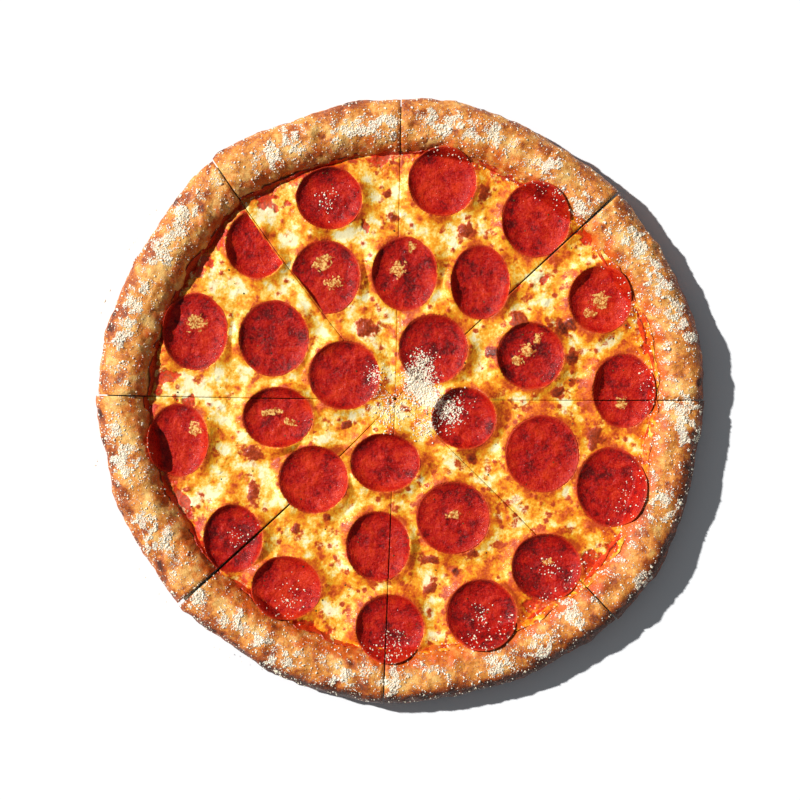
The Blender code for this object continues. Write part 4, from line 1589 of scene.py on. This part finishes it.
@dataclass
class GratedTopping:
    """The grated hard cheese along the rim and in a heap beside the middle."""

    rim_rounds: int = 13
    heap_rounds: int = 12
    usual_size: float = 0.36
    largest_size: float = 1.3

    def rim_places(self, count: int, seed: int) -> np.ndarray:
        """Picks places on the rim, most of them in the thick patches.

        Args:
            count: how many.
            seed: another seed picks others.

        Returns:
            x and y of each.
        """
        luck = np.random.default_rng(seed)
        offered = count * 16
        angle = luck.uniform(0.0, math.tau, offered)
        far = luck.uniform(144.0, 181.0, offered) * MM
        x, y = HUB[0] + far * np.cos(angle), HUB[1] + far * np.sin(angle)
        kept = np.flatnonzero(luck.random(offered) < 0.03 + 0.7 * dusting(x, y))
        chosen = np.resize(luck.permutation(kept)[:count], count)
        return np.stack((x[chosen], y[chosen]), axis=1)

    def heap_places(self, count: int, seed: int) -> np.ndarray:
        """Picks places in the heap and the thin drifts.

        Args:
            count: how many.
            seed: another seed picks others.

        Returns:
            x and y of each.
        """
        luck = np.random.default_rng(seed)
        column, row, radius, shares = np.array(HEAP_PATCHES).T
        chosen = luck.choice(len(HEAP_PATCHES), count, p=shares / shares.sum())
        middles = np.stack(from_photo(column, row), axis=1)[chosen]
        return middles + luck.normal(0.0, 0.5, (count, 2)) * (radius * PIXEL)[chosen][:, None]

    def build(self, scatter: Scatter, finish: bpy.types.Material) -> int:
        """Makes the grains.

        Args:
            scatter: what lays them down.
            finish: their finish.

        Returns:
            How many grains there are.
        """
        total = 0
        crowds = (
            ("grated_rim_a", self.rim_rounds, self.rim_places),
            ("grated_rim_b", self.rim_rounds, self.rim_places),
            ("grated_heap", self.heap_rounds, self.heap_places),
        )
        for index, (name, rounds, pick) in enumerate(crowds):
            count = 2 ** rounds
            piece, corners = scatter.crowd(name, rounds, 0.62)
            luck = np.random.default_rng(90 + index)
            sizes = luck.lognormal(math.log(self.usual_size), 0.38, count)
            sizes = np.minimum(sizes, self.largest_size) * MM
            scatter.strew(piece, corners, pick(count, 95 + index), sizes, 70 + index)
            Work.smooth(piece.data)
            Work.dress(piece, Slot.CHEESE, finish)
            total += count
        return total


@dataclass
class HerbFlecks:
    """Dried herb flakes on the cheese."""

    rounds: int = 7

    def build(self, scatter: Scatter, finish: bpy.types.Material) -> int:
        """Makes the flakes.

        Args:
            scatter: what lays them down.
            finish: their finish.

        Returns:
            How many flakes there are.
        """
        count = 2 ** self.rounds
        piece, corners = scatter.crowd("herb_flecks", self.rounds, 0.25)
        luck = np.random.default_rng(33)
        angle = luck.uniform(0.0, math.tau, count)
        far = 146.0 * MM * np.sqrt(luck.random(count))
        places = np.stack((HUB[0] + far * np.cos(angle), HUB[1] + far * np.sin(angle)), axis=1)
        scatter.strew(piece, corners, places, luck.uniform(0.3, 0.7, count) * MM, 34)
        Work.smooth(piece.data)
        Work.dress(piece, Slot.CHEESE, finish)
        return count


@dataclass
class Studio:
    """The floor, the light and the camera."""

    camera_height: float = 2.0
    field_width: float = 0.4704
    field_level: float = 0.012
    aim: tuple[float, float] = (0.4 * MM, 1.1 * MM)
    sensor_width: float = 36.0
    sun_run: tuple[float, float] = (0.913, -0.407)
    sun_height: float = 40.0
    sun_strength: float = 4.75
    sun_softness: float = 1.8
    fill: float = 0.145

    def build(self, paper: bpy.types.Material) -> None:
        """Sets up the floor, the light and the camera.

        Args:
            paper: the floor's finish.
        """
        scene = bpy.context.scene
        floor = Work.grid("floor", 4, 4, 3.0)
        floor.data.materials.append(paper)
        sun = bpy.data.lights.new("studio_sun", "SUN")
        sun.energy = self.sun_strength
        sun.angle = math.radians(self.sun_softness)
        lamp = bpy.data.objects.new("studio_sun", sun)
        down = -math.tan(math.radians(self.sun_height))
        lamp.rotation_euler = Vector((*self.sun_run, down)).to_track_quat("-Z", "Y").to_euler()
        scene.collection.objects.link(lamp)
        world = bpy.data.worlds.new("studio_fill")
        world.use_nodes = True
        sky = world.node_tree.nodes["Background"].inputs
        sky["Color"].default_value = (0.93, 1.0, 1.08, 1.0)
        sky["Strength"].default_value = self.fill
        scene.world = world
        lens = bpy.data.cameras.new("camera")
        lens.sensor_width = self.sensor_width
        lens.lens = self.sensor_width * (self.camera_height - self.field_level) / self.field_width
        lens.clip_end = 20.0
        camera = bpy.data.objects.new("camera", lens)
        camera.location = (self.aim[0], self.aim[1], self.camera_height)
        scene.collection.objects.link(camera)
        scene.camera = camera
        scene.view_settings.view_transform = "Standard"
        scene.view_settings.look = "None"


def main() -> None:
    """Builds the pizza and its studio."""
    logging.basicConfig(level=logging.INFO, format="%(message)s")
    Studio().build(PalePaper().material())
    dough, sauce, cheese = DoughBase(), SauceLayer(), CheeseLayer()
    skin, crumb = BakedDough().material(), BreadCrumb().material()
    red, melted = TomatoSauce().material(), MeltedCheese().material()
    for plan in SLICES:
        built = (
            dough.build(plan, skin, crumb), sauce.build(plan, red), cheese.build(plan, melted)
        )
        for made in built:
            LOG.info("%s: %d faces", made.name, len(made.data.polygons))
    sausage = CuredSausage().material()
    pepperoni = PepperoniSlices()
    for disc in DISCS:
        for side in ("left", "right") if disc.sides == "both" else (disc.sides,):
            pepperoni.build(disc, side, sausage)
    LOG.info("pepperoni: %d pieces", len(pepperoni.pieces))
    scatter = Scatter(dough.pieces + cheese.pieces + pepperoni.pieces)
    LOG.info("grated cheese: %d grains", GratedTopping().build(scatter, GratedCheese().material()))
    LOG.info("herbs: %d flakes", HerbFlecks().build(scatter, DriedHerb().material()))


if __name__ == "__main__":
    main()
